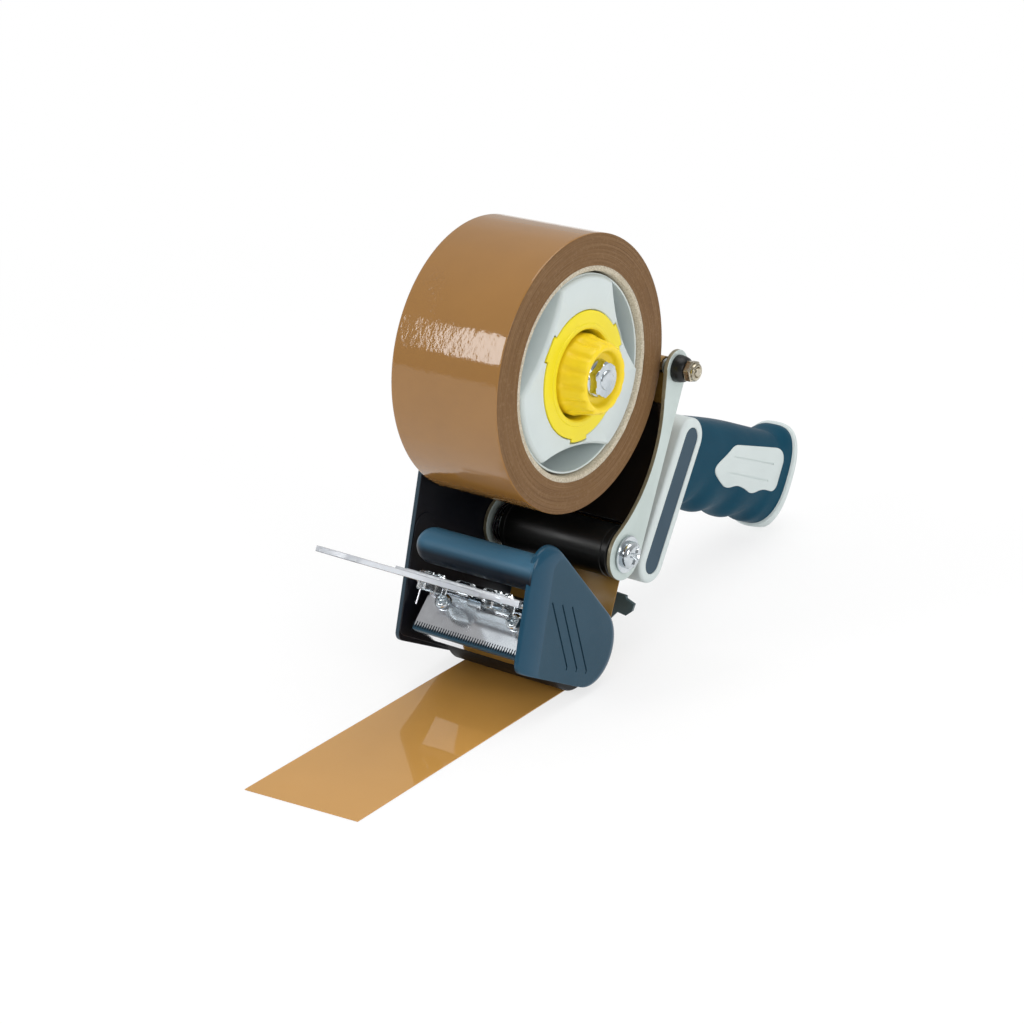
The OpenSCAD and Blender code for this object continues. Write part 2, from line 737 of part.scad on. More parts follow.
// Hub that the roll of tape is pushed on to, with a flange behind and a brake chamber in front
module hub() {
    r = core_bore_r - 4 * fit;
    back = hub_back - hub_flange_t;
    tab_room_r = disc_r + tab_length + gap;
    color("#cfdcdc") difference() {
        union() {
            translate([roll[0], 0, roll[1]]) slab(hub_back, hub_front) hub_outline(r, scallop_depth);
            rod(roll, hub_flange_r, back, hub_back);
            difference() {
                rod(roll, r, hub_back, hub_front - hub_ring_set);
                rod(roll, r - hub_ring_t, hub_back, hub_front);
            }
        }
        rod(roll, shoulder_r + fit, back - over, brake_floor + over);
        rod(roll, brake_room_r, brake_floor, hub_front + over);
        rod(roll, disc_r + gap, disc_back, hub_front + over);
        translate([roll[0], 0, roll[1]]) {
            for (k = [0 : 2]) slab(disc_back, hub_front + over) disc_tab(k, tab_room_r, 1.1);
            difference() {
                slab(back - over, disc_back - hub_face_t) hub_outline(r - hub_wall, scallop_depth);
                slab(back - 2 * over, disc_back) circle(hub_boss_r);
                for (k = [0 : 5]) rotate([0, -60 * k, 0]) translate([0, back - 2 * over, -hub_rib / 2])
                    cube([r, tape_w + 2 * hub_flange_t, hub_rib]);
            }
        }
    }
}

// One tab of the yellow disc, as an outline in a sector of radius r
module disc_tab(k, r, widen) {
    half = tab_half_angle * widen;
    rotate(38 + 120 * k) polygon(concat([[0, 0]], arc([0, 0], r, -half, half, 6)));
}

// Yellow disc set in the hub's face, with three tabs
module hub_disc() {
    tab_r = disc_r + tab_length;
    color("#e4d42c") difference() {
        translate([roll[0], 0, roll[1]]) slab(disc_back, disc_front) union() {
            circle(disc_r);
            for (k = [0 : 2]) disc_tab(k, tab_r, 1);
        }
        rod(roll, disc_hole_r, disc_back - over, disc_front + over);
    }
}

// Fibre washer that rubs on the hub
module friction_washer() {
    color("#5a4632") difference() {
        rod(roll, washer_r, friction_y, friction_y + washer_t);
        rod(roll, stud_r + fit, friction_y - over, friction_y + washer_t + over);
    }
}

// Brake spring that the knob squeezes
brake_spring_points =
    coil(roll, brake_coil_r, brake_coil_pitch, brake_coil_turns, spring_y + brake_wire_r, 0);
module brake_spring() {
    color("#8d9599") tube(brake_spring_points, brake_wire_r, 6);
}

// Steel washer between the spring and the knob
module pressure_washer() {
    color("#b9c1c4") difference() {
        rod(roll, washer_r, pressure_y, pressure_y + pressure_t);
        rod(roll, stud_r + fit, pressure_y - over, pressure_y + pressure_t + over);
    }
}

// Fluted brake knob with a dish for its nut
module brake_knob() {
    dish = knob_front - knob_dish_depth;
    back_r = knob_r + knob_back_grow;
    flute_r = knob_r * 0.2;
    e = knob_edge;
    color("#e8c81e") difference() {
        turned(roll, [[stud_r + fit, knob_back], [back_r - e, knob_back], [back_r, knob_back + e],
            [back_r, knob_mid + e], [knob_r + 0.4 * e, knob_front - 1.2 * e], [knob_r - 0.8 * e, knob_front],
            [knob_dish_r, knob_front], [knob_dish_r - 0.6 * e, dish], [stud_r + fit, dish]]);
        for (k = [0 : knob_flutes - 1]) translate([roll[0], 0, roll[1]])
            rotate([0, 360 * k / knob_flutes, 0]) translate([back_r + flute_r * 0.62, knob_front + over, 0])
                rotate([90, 0, 0]) cylinder(r = flute_r, h = knob_front - knob_mid - flute_foot + over);
    }
}

// Flanged nut held in the knob's dish
module knob_nut() {
    dish = knob_front - knob_dish_depth;
    color("#c4ccd0") difference() {
        union() {
            rod(roll, nut_across * 0.58, dish, dish + nut_flange_t);
            hexagon(roll, nut_across, dish, dish + 0.9 * (nut_flange_t + nut_h));
        }
        rod(roll, stud_r + fit, dish - over, knob_front + 2 * over);
    }
}

// Cardboard core of the roll
module tape_core() {
    color("#cbb994") difference() {
        rod(roll, core_bore_r + core_t, -tape_w / 2, tape_w / 2);
        rod(roll, core_bore_r, -tape_w / 2 - over, tape_w / 2 + over);
    }
}

// Wound tape
module tape_roll() {
    color("#a07c48") difference() {
        rod(roll, roll_r, -tape_w / 2, tape_w / 2);
        rod(roll, core_bore_r + core_t, -tape_w / 2 - over, tape_w / 2 + over);
    }
}

// Direction of the tape from the silencer roller down to the guide roller
web_lean = 23.5;
web_turn_r = silencer_r + film_gap + film_t / 2;
web_stop = 2.2;
web_from_angle = 40;

// Tape from the roll over the silencer roller and down behind the arm's plate
module tape_web_upper() {
    down = [sin(web_lean), -cos(web_lean)];
    back = [-cos(web_lean), -sin(web_lean)];
    top = silencer + web_turn_r * back;
    reach = (guide - silencer) * down - web_stop;
    color("#b08848") slab(-tape_w / 2, tape_w / 2) polygon(ribbon(concat(
        arc(silencer, web_turn_r, web_from_angle, 180 + web_lean, 12), [top + reach * down]), film_t));
}

// Path of the tape from the guide roller, behind the applicator roller and under it
low_lean = 24.8;
low_run = 31.5;
slack_r = 14;
slack_out_angle = 65;
wrap_from_angle = -115;
low_points = let (down = [sin(low_lean), -cos(low_lean)], back = [-cos(low_lean), -sin(low_lean)],
        start = guide + (guide_r + film_gap + film_t / 2) * back, turn = start + low_run * down)
    concat([start], arc(turn - slack_r * back, slack_r, 180 + low_lean, 180 + slack_out_angle, 8),
        arc(applicator, applicator_r + film_gap + film_t / 2, wrap_from_angle, -90, 5));
module tape_web_lower() {
    color("#b08848") slab(-tape_w / 2 - strip_shift / 2, tape_w / 2 - strip_shift / 2)
        polygon(ribbon(low_points, film_t));
}

// Tape that lies on the surface in front of the nose, cut askew
module tape_strip() {
    far = -tape_w / 2 - strip_shift;
    near = tape_w / 2 - strip_shift;
    end = strip_l - applicator_back;
    color("#cc9d59") linear_extrude(film_t) polygon([[-applicator_back, far], [end, far],
        [end - strip_skew, near], [-applicator_back, near]]);
}

// Pin that the guard turns on
module guard_pin() {
    color("#c4ccd0") rod(pivot, guard_pin_r, side_in + far_wall_t / 2, cheek_in + cheek_t / 2);
}

// Light torsion spring on that pin, with a leg down the far wall
guard_spring_points = let (y = far_wall_in + guard_wire_r + gap,
        curls = coil(pivot, guard_coil_r, guard_coil_pitch, guard_coil_turns, y, 210))
    concat([for (k = [3 : -1 : 1]) curls[0] + k * guard_leg_l / 3 * [sin(30), 0, -cos(30)]], curls);
module guard_spring() {
    color("#e6e9ea") tube(guard_spring_points, guard_wire_r, 6);
}

// Clear base of the guard with its two knuckles and two clips
module guard_base() {
    top = guard_low + tongue_t;
    side = base_w / 2;
    color("#dfe8ee", 0.5) on_guard() difference() {
        union() {
            translate([-base_back, -side, top]) cube([base_l, base_w, base_t]);
            for (s = [-1, 1]) {
                translate([0, s * knuckle_side + knuckle_l / 2, 0]) rotate([90, 0, 0])
                    cylinder(r = knuckle_r, h = knuckle_l);
                translate([stud_forward, s * stud_side, top + base_t / 2] - [clip_size[0], clip_size[1], 0] / 2)
                    cube(clip_size);
            }
        }
        translate([0, base_w, 0]) rotate([90, 0, 0]) cylinder(r = guard_pin_r + fit, h = 2 * base_w);
    }
}

// Clear tongue under the base
module guard_tongue() {
    back = knuckle_r + gap;
    tip = tongue_w / 4;
    color("#dfe8ee", 0.5) on_guard() translate([0, 0, guard_low]) linear_extrude(tongue_t)
        polygon(wrap([[back + tip, -tongue_w / 2 + tip, tip], [tongue_l - tip, -tongue_w / 2 + tip, tip],
            [tongue_l - tip, tongue_w / 2 - tip, tip], [back + tip, tongue_w / 2 - tip, tip]], 6));
}

// Two round studs under the guard's base
module guard_studs() {
    top = guard_low + tongue_t;
    color("#dfe8ee", 0.5) on_guard() for (s = [-1, 1]) translate([stud_forward, s * stud_side,
        top - tongue_t - guard_stud_h]) cylinder(r = guard_stud_r, h = guard_stud_h + tongue_t);
}

// Screws that hold the handle's head to the side plate
head_screw_shares = [0.12, 0.62];
head_screw_places = [for (s = head_screw_shares) head_low + s * head_l * head_dir];
head_boss_r = head_t / 2 - 1;
head_boss_l = 14;
module head_screws() {
    color("#c4ccd0") for (p = head_screw_places) translate([p[0], side_out, p[1]]) rotate([90, 0, 0])
        pan_screw(side_t + head_boss_l - 2);
}

// Stadium outline of the handle's head with end radius r
module head_outline(r) {
    polygon(wrap([[head_low[0], head_low[1], r], [head_high[0], head_high[1], r]], 24));
}

// Light grey head of the handle, hollow from its near face
module handle_head() {
    color("#d3dede") difference() {
        slab(side_in, head_near) head_outline(head_t / 2);
        difference() {
            slab(side_in + head_floor, head_near + over) head_outline(head_room_r);
            for (p = head_screw_places) rod(p, head_boss_r, side_in, side_in + head_boss_l);
        }
        slab(head_near - panel_t - gap, head_near + over) head_outline(panel_w / 2 + fit);
        for (p = head_screw_places) rod(p, screw_r, side_in - over, side_in + head_boss_l - over);
        on_grip() translate([0, 0, -head_t]) cylinder(r = handle_bolt_r + fit, h = 2 * head_t);
    }
}

// Panel that closes the head's near face
module head_panel() {
    color("#48606f") slab(head_near - panel_t - gap, head_near - gap) head_outline(panel_w / 2);
}

// Long bolt along the grip
module handle_bolt() {
    inside = grip_root_in - head_room_r + 0.8;
    color("#b9c1c4") on_grip() translate([0, 0, -inside + 2]) cylinder(r = handle_bolt_r, h = handle_bolt_l);
}

// Round core of the grip, with a neck against the head
module handle_core() {
    color("#cfdcdc") difference() {
        on_grip() difference() {
            union() {
                cylinder(r = neck_r, h = grip_start);
                cylinder(r = core_r, h = grip_l - butt_tilt_share * core_r - gap);
            }
            translate([0, 0, -over]) cylinder(r = handle_bolt_r + fit, h = handle_bolt_l + 4);
        }
        slab(side_in, head_near) head_outline(head_t / 2);
    }
}

// Ring of the grip's surface at distance t along it, swollen by grow
function grip_ring(t, grow) = let (
        tilt = butt_tilt_share * ease(0.78 * grip_l, grip_l, t),
        up = grip_up_h + palm_flare * ease(0.9 * grip_l, 0.99 * grip_l, t)
            - neck_drop * ease(0.66 * grip_l, 0.09 * grip_l, t),
        finger = finger_depth * ease(0.3 * grip_l, 0.4 * grip_l, t) * ease(0.96 * grip_l, 0.88 * grip_l, t)
            * (0.5 - 0.5 * cos(360 * (t - grip_fingers) / finger_pitch)))
    [for (k = [0 : grip_sides - 1])
        let (a = 360 * k / grip_sides, c = cos(a), s = sin(a),
            under = max(0, -s) ^ 1.2,
            high = (s > 0 ? up : grip_down_h - finger * under) + grow,
            power = s > 0 ? top_power : under_power,
            x = high * sign(s) * abs(s) ^ power,
            y = (grip_w / 2 - finger * under * 0.7 + grow) * sign(c) * abs(c) ^ power)
        [x, y, t + tilt * x]];
grip_fingers = 55.8;
top_power = 0.71;
under_power = 0.87;

// Closed solid through a list of rings
module loft(rings) {
    n = len(rings);
    m = len(rings[0]);
    walls = [for (i = [0 : n - 2], k = [0 : m - 1])
        let (a = i * m + k, b = i * m + (k + 1) % m)
        each [[a, b + m, b], [a, a + m, b + m]]];
    start = [for (k = [1 : m - 2]) [0, k, k + 1]];
    end = [for (k = [1 : m - 2]) (n - 1) * m * [1, 1, 1] + [0, k + 1, k]];
    polyhedron(points = [for (r = rings) each r], faces = concat(start, walls, end));
}

// Moulded grip with finger grooves and a palm flare
module handle_grip() {
    color("#43606f") on_grip() difference() {
        loft([for (i = [0 : grip_rings]) grip_ring(grip_start + (grip_l - grip_start) * i / grip_rings, 0)]);
        translate([0, 0, grip_start - over]) cylinder(r = core_r + fit, h = grip_l);
        plaque_slabs(plaque_t + gap);
    }
}

// Light grey cap on the grip's end, drawn in behind towards the low edge that the dispenser rests on
cap_shares = [[0, 1], [0.2, 1], [0.4, 0.9], [0.6, 0.77], [0.8, 0.62], [1, 0.4]];
module handle_cap() {
    low = 0.96 * (grip_down_h + cap_grow);
    color("#cfdcdc") on_grip() loft([for (s = cap_shares) [for (p = grip_ring(grip_l, cap_grow))
        [(p[0] + low) * s[1] - low, p[1] * s[1], p[2] + gap / 2 + cap_l * s[0]]]]);
}

// Pale plaque on each side of the grip, with a lower edge that follows the fingers
plaque_shares = [[0.556, 0.57], [0.922, 0.715], [0.954, 0.6], [0.927, -0.21], [0.825, -0.196],
    [0.752, -0.355], [0.696, -0.266], [0.622, -0.224], [0.552, -0.346], [0.487, -0.22], [0.433, -0.065],
    [0.435, 0.08], [0.509, 0.37]];
module plaque_slabs(t) {
    for (s = [-1, 1]) translate([0, s * (grip_w / 2 - plaque_sink + t / 2), 0]) rotate([90, 0, 0])
        linear_extrude(t, center = true)
            polygon([for (p = plaque_shares) [p[1] * grip_up_h, p[0] * grip_l]]);
}
module grip_plaques() {
    color("#d3dede") on_grip() plaque_slabs(plaque_t);
}

echo(arm_spring_gap = own_gap(arm_spring_points, wire_r));
echo(brake_spring_gap = own_gap(brake_spring_points, brake_wire_r));
echo(guard_spring_gap = own_gap([for (i = [3 : len(guard_spring_points) - 1]) guard_spring_points[i]],
    guard_wire_r));

side_plate();
rear_guide();
nose_housing();
blade();
blade_screws();
wiper_plate();
applicator_roller();
applicator_axle();
guide_axle();
arm_screw();
arm_washer();
guide_roller();
arm_spring();
arm_near();
arm_far();
arm_shield();
arm_bolt();
arm_bush();
arm_nut();
silencer_roller();
roll_axle();
axle_nut();
hub();
hub_disc();
friction_washer();
brake_spring();
pressure_washer();
brake_knob();
knob_nut();
tape_core();
tape_roll();
tape_web_upper();
tape_web_lower();
tape_strip();
guard_pin();
guard_spring();
guard_base();
guard_tongue();
guard_studs();
handle_head();
head_panel();
head_screws();
handle_bolt();
handle_core();
handle_grip();
handle_cap();
grip_plaques();
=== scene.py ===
# Hand-held packing tape dispenser, loaded, with a tongue of tape out in front.
# Sizes are in millimetres while a piece is made, and in metres once it is an object.
import math
import random

import bmesh
import bpy
from mathutils import Matrix, Vector, noise


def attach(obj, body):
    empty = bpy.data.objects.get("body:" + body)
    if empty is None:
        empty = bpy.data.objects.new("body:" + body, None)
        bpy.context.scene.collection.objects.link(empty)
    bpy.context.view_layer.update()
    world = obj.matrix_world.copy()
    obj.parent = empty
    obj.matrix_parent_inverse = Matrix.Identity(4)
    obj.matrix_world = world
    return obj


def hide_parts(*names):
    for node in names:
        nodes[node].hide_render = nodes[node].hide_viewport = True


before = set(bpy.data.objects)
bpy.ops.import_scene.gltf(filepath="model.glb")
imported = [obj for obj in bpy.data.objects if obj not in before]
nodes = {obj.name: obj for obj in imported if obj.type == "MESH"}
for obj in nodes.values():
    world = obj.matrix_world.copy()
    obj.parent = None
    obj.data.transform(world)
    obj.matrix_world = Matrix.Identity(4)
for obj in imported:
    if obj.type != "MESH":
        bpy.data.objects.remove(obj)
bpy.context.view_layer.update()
scene = bpy.context.scene
random.seed(11)
print("frame loaded:", len(nodes), "nodes")

mm = 0.001
fullTurn = 2 * math.pi
quarterTurn = math.pi / 2

# places in the plane of X and Z
roll = (-12.0, 129.2)
guide = (-31.3, 49.3)
applicator = (-2.0, 15.9)
silencer = (-68.699, 116.493)
armCurve = (-4.0, 110.05)
teeth = (34.3, 28.8)
pivot = (25.0, 45.6)
bar = (26.5, 61.5)
headLow = (-50.65, 38.5)
headHigh = (-79.144, 82.713)
gripRoot = (-79.62, 71.456)
bladeLean = math.radians(43)
guardRise = math.radians(29.8)
gripSlope = math.radians(24.3)


def evenAngles(count):
    return [fullTurn * k / count for k in range(count)]


def around(centre, radius, angle, y):
    return centre[0] + radius * math.cos(angle), y, centre[1] + radius * math.sin(angle)


class Shape:
    # points and faces in millimetres, gathered before they become one object
    def __init__(self):
        self.points, self.faces, self.slots = [], [], []

    def add(self, points, faces, place=None, slot=0):
        start = len(self.points)
        self.points += [tuple(place(p)) if place else tuple(p) for p in points]
        self.faces += [[start + i for i in f] for f in faces]
        self.slots += [slot] * len(faces)
        return self

    def rings(self, rings, loop=False, place=None, slot=0, capSlot=None):
        # walls from ring to ring; the ends are closed, or joined in a loop
        start, count, size = len(self.points), len(rings), len(rings[0])
        walls = []
        for i in range(count if loop else count - 1):
            j = (i + 1) % count
            for k in range(size):
                n = (k + 1) % size
                walls.append([i * size + k, i * size + n, j * size + n, j * size + k])
        self.add([p for ring in rings for p in ring], walls, place, slot)
        if not loop:
            last = start + (count - 1) * size
            self.faces += [[start + k for k in range(size)][::-1], [last + k for k in range(size)]]
            self.slots += [slot if capSlot is None else capSlot] * 2
        return self

    def prism(self, outline, y1, y2, **options):
        return self.rings([[(x, y, z) for x, z in outline] for y in (y1, y2)], **options)

    def lathe(self, centre, profile, angles=96, loop=False):
        # profile holds Y and a radius, or a rule that gives it at an angle; a loop is a ring with no ends
        angles = evenAngles(angles) if isinstance(angles, int) else angles
        return self.rings([[around(centre, radius(a) if callable(radius) else radius, a, y) for a in angles]
                           for radius, y in profile], loop)

    def tube(self, path, radius, sides=12):
        rings = []
        for i, p in enumerate(path):
            along = (Vector(path[min(i + 1, len(path) - 1)]) - Vector(path[max(i - 1, 0)])).normalized()
            u = along.cross(Vector((0, 1, 0)))
            u = u.normalized() if u.length > 1e-4 else along.cross(Vector((1, 0, 0))).normalized()
            v = along.cross(u)
            rings.append([Vector(p) + radius * (math.cos(a) * u + math.sin(a) * v) for a in evenAngles(sides)])
        return self.rings(rings)

    def box(self, low, high, **options):
        (x1, y1, z1), (x2, y2, z2) = low, high
        return self.rings([[(x1, y1, z), (x2, y1, z), (x2, y2, z), (x1, y2, z)] for z in (z1, z2)], **options)

    def mesh(self, name):
        mesh = bpy.data.meshes.new(name)
        mesh.from_pydata([tuple(c * mm for c in p) for p in self.points], [], self.faces)
        for polygon, slot in zip(mesh.polygons, self.slots):
            polygon.material_index = slot
        bm = bmesh.new()
        bm.from_mesh(mesh)
        bmesh.ops.remove_doubles(bm, verts=bm.verts, dist=2e-6)
        bmesh.ops.recalc_face_normals(bm, faces=bm.faces)
        bm.to_mesh(mesh)
        bm.free()
        return mesh

    def build(self, name, finishes, slotName, replaced=None, body="frame", bevel=0.0, segments=2, sharp=32):
        mesh = self.mesh(name)
        for finish in finishes if isinstance(finishes, list) else [finishes]:
            mesh.materials.append(finish)
        mesh.shade_smooth()
        mesh.set_sharp_from_angle(angle=math.radians(sharp))
        obj = bpy.data.objects.new(name, mesh)
        scene.collection.objects.link(obj)
        if bevel:
            m = obj.modifiers.new("softEdges", "BEVEL")
            m.width, m.segments, m.limit_method, m.angle_limit = bevel * mm, segments, "ANGLE", math.radians(sharp)
            m.harden_normals = True
        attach(obj, body)
        if replaced:
            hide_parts(replaced)
        return obj


def carve(obj, cutter):
    # takes the cutter's closed shapes out of the object for good
    tool = bpy.data.objects.new("cutter", cutter.mesh("cutter"))
    scene.collection.objects.link(tool)
    m = obj.modifiers.new("carve", "BOOLEAN")
    m.operation, m.solver, m.object = "DIFFERENCE", "EXACT", tool
    bpy.context.view_layer.update()
    carved = bpy.data.meshes.new_from_object(obj.evaluated_get(bpy.context.evaluated_depsgraph_get()))
    obj.modifiers.remove(m)
    old, obj.data = obj.data, carved
    bpy.data.meshes.remove(old)
    bpy.data.objects.remove(tool)
    carved.shade_smooth()
    carved.set_sharp_from_angle(angle=math.radians(32))


def touchAngle(a, b):
    # direction from a circle's middle to where the line that touches both circles leaves it
    return math.atan2(b[1] - a[1], b[0] - a[0]) - math.acos((a[2] - b[2]) / math.dist(a[:2], b[:2]))


def wrap(circles, n=14):
    # closed outline round circles of x, z, radius, taken anticlockwise
    outline = []
    for i, c in enumerate(circles):
        start = touchAngle(circles[i - 1], c)
        sweep = (touchAngle(c, circles[(i + 1) % len(circles)]) - start) % fullTurn
        outline += [(c[0] + c[2] * math.cos(start + sweep * k / n), c[1] + c[2] * math.sin(start + sweep * k / n))
                    for k in range(n + 1)]
    return outline


def arc(centre, r, start, end, n):
    turns = [math.radians(start + (end - start) * k / n) for k in range(n + 1)]
    return [(centre[0] + r * math.cos(a), centre[1] + r * math.sin(a)) for a in turns]


def ribbon(path, t):
    # outline of a strip of thickness t along a path in X and Z
    left, right = [], []
    for i, p in enumerate(path):
        a, b = path[max(i - 1, 0)], path[min(i + 1, len(path) - 1)]
        length = math.dist(a, b)
        side = (-(b[1] - a[1]) / length * t / 2, (b[0] - a[0]) / length * t / 2)
        left.append((p[0] + side[0], p[1] + side[1]))
        right.append((p[0] - side[0], p[1] - side[1]))
    return left + right[::-1]


def line(start, direction, length, steps):
    return [(start[0] + direction[0] * length * i / steps, start[1] + direction[1] * length * i / steps)
            for i in range(steps + 1)]


def ease(a, b, x):
    s = min(1, max(0, (x - a) / (b - a)))
    return s * s * (3 - 2 * s)


def rounded(outline, times, most=2.0):
    # cuts the corners of a closed outline, again and again, each by no more than most
    for _ in range(times):
        cut = []
        for i, p in enumerate(outline):
            n = outline[(i + 1) % len(outline)]
            f = min(0.25, most / math.dist(p, n))
            cut += [(p[0] + (n[0] - p[0]) * f, p[1] + (n[1] - p[1]) * f),
                    (n[0] - (n[0] - p[0]) * f, n[1] - (n[1] - p[1]) * f)]
        outline, most = cut, most / 2
    return outline


def turnedPlace(origin, angle):
    # places a point that is drawn in a frame tilted about Y
    c, s = math.cos(angle), math.sin(angle)
    return lambda p: (origin[0] + p[0] * c + p[2] * s, p[1], origin[1] - p[0] * s + p[2] * c)


onBlade = turnedPlace(teeth, bladeLean)
onGuard = turnedPlace(pivot, -guardRise)
onGrip = turnedPlace(gripRoot, -quarterTurn - gripSlope)


# nodes for the finishes: each helper adds one to a tree and gives its result
def paint(r, g, b):
    # a colour read in sRGB steps of 255, as the shader wants it
    return tuple((c / 255 / 12.92) if c <= 10 else ((c / 255 + 0.055) / 1.055) ** 2.4 for c in (r, g, b)) + (1.0,)


def addNode(tree, kind, values=None, **settings):
    n = tree.nodes.new("ShaderNode" + kind)
    for key, value in settings.items():
        setattr(n, key, value)
    for key, value in (values or {}).items():
        if isinstance(value, bpy.types.NodeSocket):
            tree.links.new(value, n.inputs[key])
        else:
            n.inputs[key].default_value = value
    return n


def objectPoint(tree):
    return addNode(tree, "TexCoord").outputs["Object"]


def compute(tree, operation, *values):
    return addNode(tree, "Math", dict(enumerate(values)), operation=operation).outputs[0]


def stretch(tree, point, factors):
    return addNode(tree, "VectorMath", {0: point, 1: factors}, operation="MULTIPLY").outputs[0]


def cloud(tree, point, scale, detail, roughness=0.5, distortion=0.0):
    return addNode(tree, "TexNoise", {"Vector": point, "Scale": scale, "Detail": detail, "Roughness": roughness,
                                      "Distortion": distortion}).outputs["Fac"]


def ramp(tree, value, low, high, toLow=0.0, toHigh=1.0, **settings):
    return addNode(tree, "MapRange", {"Value": value, "From Min": low, "From Max": high, "To Min": toLow,
                                      "To Max": toHigh}, **settings).outputs["Result"]


def blend(tree, share, first, second):
    # the colour sockets of a Mix node come after its number and vector sockets
    return addNode(tree, "Mix", {0: share, 6: first, 7: second}, data_type="RGBA").outputs[2]


def bumped(tree, height, strength, distance, **below):
    return addNode(tree, "Bump", {"Height": height, "Strength": strength, "Distance": distance,
                                  **below}).outputs["Normal"]


def effect(name, inputs, fill):
    # a node group: fill gets the group and its inputs, and gives its outputs by name
    group = bpy.data.node_groups.new(name, "ShaderNodeTree")
    for label, default in inputs.items():
        kind = "NodeSocketColor" if isinstance(default, tuple) else "NodeSocketFloat"
        group.interface.new_socket(label, in_out="INPUT", socket_type=kind).default_value = default
    results = fill(group, group.nodes.new("NodeGroupInput").outputs)
    kinds = {"Color": "NodeSocketColor", "Roughness": "NodeSocketFloat", "Normal": "NodeSocketVector"}
    for label in results:
        group.interface.new_socket(label, in_out="OUTPUT", socket_type=kinds[label])
    end = group.nodes.new("NodeGroupOutput")
    for label, socket in results.items():
        group.links.new(socket, end.inputs[label])
    return group


def mottle(group, given):
    # slow change between two colours
    share = ramp(group, cloud(group, objectPoint(group), given["Scale"], 4.0, 0.6), 0.35, 0.65)
    share = compute(group, "MULTIPLY", share, given["Amount"])
    return {"Color": blend(group, share, given["Color"], given["Second"])}


def shade(group, given):
    # painted light and shade: a lit colour above and a shaded colour below, over a band of heights
    height = addNode(group, "SeparateXYZ", {"Vector": objectPoint(group)}).outputs["Z"]
    share = ramp(group, height, given["From"], given["To"], interpolation_type="SMOOTHSTEP")
    return {"Color": blend(group, share, given["Low"], given["Top"])}


def grain(group, given):
    # fine moulded or powder-coated surface
    speck = cloud(group, objectPoint(group), given["Scale"], 2.0)
    return {"Normal": bumped(group, speck, given["Height"], 0.0002)}


def smudge(group, given):
    # gloss that comes and goes, as on a handled surface
    haze = cloud(group, objectPoint(group), given["Scale"], 5.0, 0.65)
    return {"Roughness": ramp(group, haze, 0.3, 0.7, given["Low"], given["High"])}


def brushed(group, given):
    # fine lines, with one spacing along Y and another across it
    spacing = addNode(group, "CombineXYZ", {"X": given["Across"], "Y": given["Along"], "Z": given["Across"]})
    lines = cloud(group, stretch(group, objectPoint(group), spacing.outputs[0]), 1.0, 3.0)
    return {"Roughness": ramp(group, lines, 0.3, 0.7, given["Low"], given["High"]),
            "Normal": bumped(group, lines, given["Height"], 0.0001)}


def windings(group, given):
    # rings round the roll's axis, seen on the edge of the wound tape, with specks of dust
    split = addNode(group, "SeparateXYZ", {"Vector": objectPoint(group)})
    dx = compute(group, "ADD", split.outputs["X"], -roll[0] * mm)
    dz = compute(group, "ADD", split.outputs["Z"], -roll[1] * mm)
    flat = addNode(group, "CombineXYZ", {"X": dx, "Y": dz, "Z": 0.0}).outputs[0]
    distance = addNode(group, "VectorMath", {0: flat}, operation="LENGTH").outputs["Value"]
    turn = compute(group, "ARCTAN2", dz, dx)
    polar = addNode(group, "CombineXYZ", {"X": compute(group, "MULTIPLY", distance, 4200.0),
                                          "Y": compute(group, "SINE", turn), "Z": compute(group, "COSINE", turn)})
    streaks = cloud(group, polar.outputs[0], 1.0, 3.0, 0.65)
    color = blend(group, ramp(group, streaks, 0.5, 0.28), given["Color"], given["Dark"])
    color = blend(group, ramp(group, streaks, 0.5, 0.75), color, given["Light"])
    dust = cloud(group, objectPoint(group), 900.0, 3.0, 0.7)
    return {"Color": blend(group, ramp(group, dust, 0.52, 0.78, 0.0, 0.8), color, given["Light"]),
            "Normal": bumped(group, streaks, given["Height"], 0.0002)}


def crinkle(group, given):
    # wound film: long soft waves, patches of sharp creases, and a fine unevenness that frays reflections
    point = objectPoint(group)
    wave = cloud(group, stretch(group, point, (60.0, 9.0, 60.0)), 1.0, 1.0)
    mask = ramp(group, cloud(group, point, 34.0, 1.0), given["Patch"], 0.78)
    creases = compute(group, "MULTIPLY", cloud(group, point, 420.0, 3.0, 0.5, 1.2), mask)
    ridge = cloud(group, stretch(group, point, (240.0, 330.0, 240.0)), 1.0, 3.0, 0.6)
    normal = bumped(group, wave, given["Wave"], 0.004)
    normal = bumped(group, creases, given["Crease"], 0.001, Normal=normal)
    return {"Normal": bumped(group, ridge, given["Ridge"], 0.0005, Normal=normal)}


grey, dark = (0.5, 0.5, 0.5, 1), (0.3, 0.3, 0.3, 1)
effects = {
    "mottle": effect("mottle", {"Color": grey, "Second": dark, "Scale": 60.0, "Amount": 0.5}, mottle),
    "shade": effect("shade", {"Top": grey, "Low": dark, "From": 0.0, "To": 0.01}, shade),
    "grain": effect("grain", {"Scale": 1200.0, "Height": 0.2}, grain),
    "smudge": effect("smudge", {"Low": 0.3, "High": 0.5, "Scale": 40.0}, smudge),
    "brushed": effect("brushed", {"Across": 4000.0, "Along": 60.0, "Low": 0.2, "High": 0.4, "Height": 0.1}, brushed),
    "windings": effect("windings", {"Color": grey, "Dark": dark, "Light": grey, "Height": 0.3}, windings),
    "crinkle": effect("crinkle", {"Wave": 0.15, "Crease": 0.5, "Patch": 0.62, "Ridge": 0.0}, crinkle)}


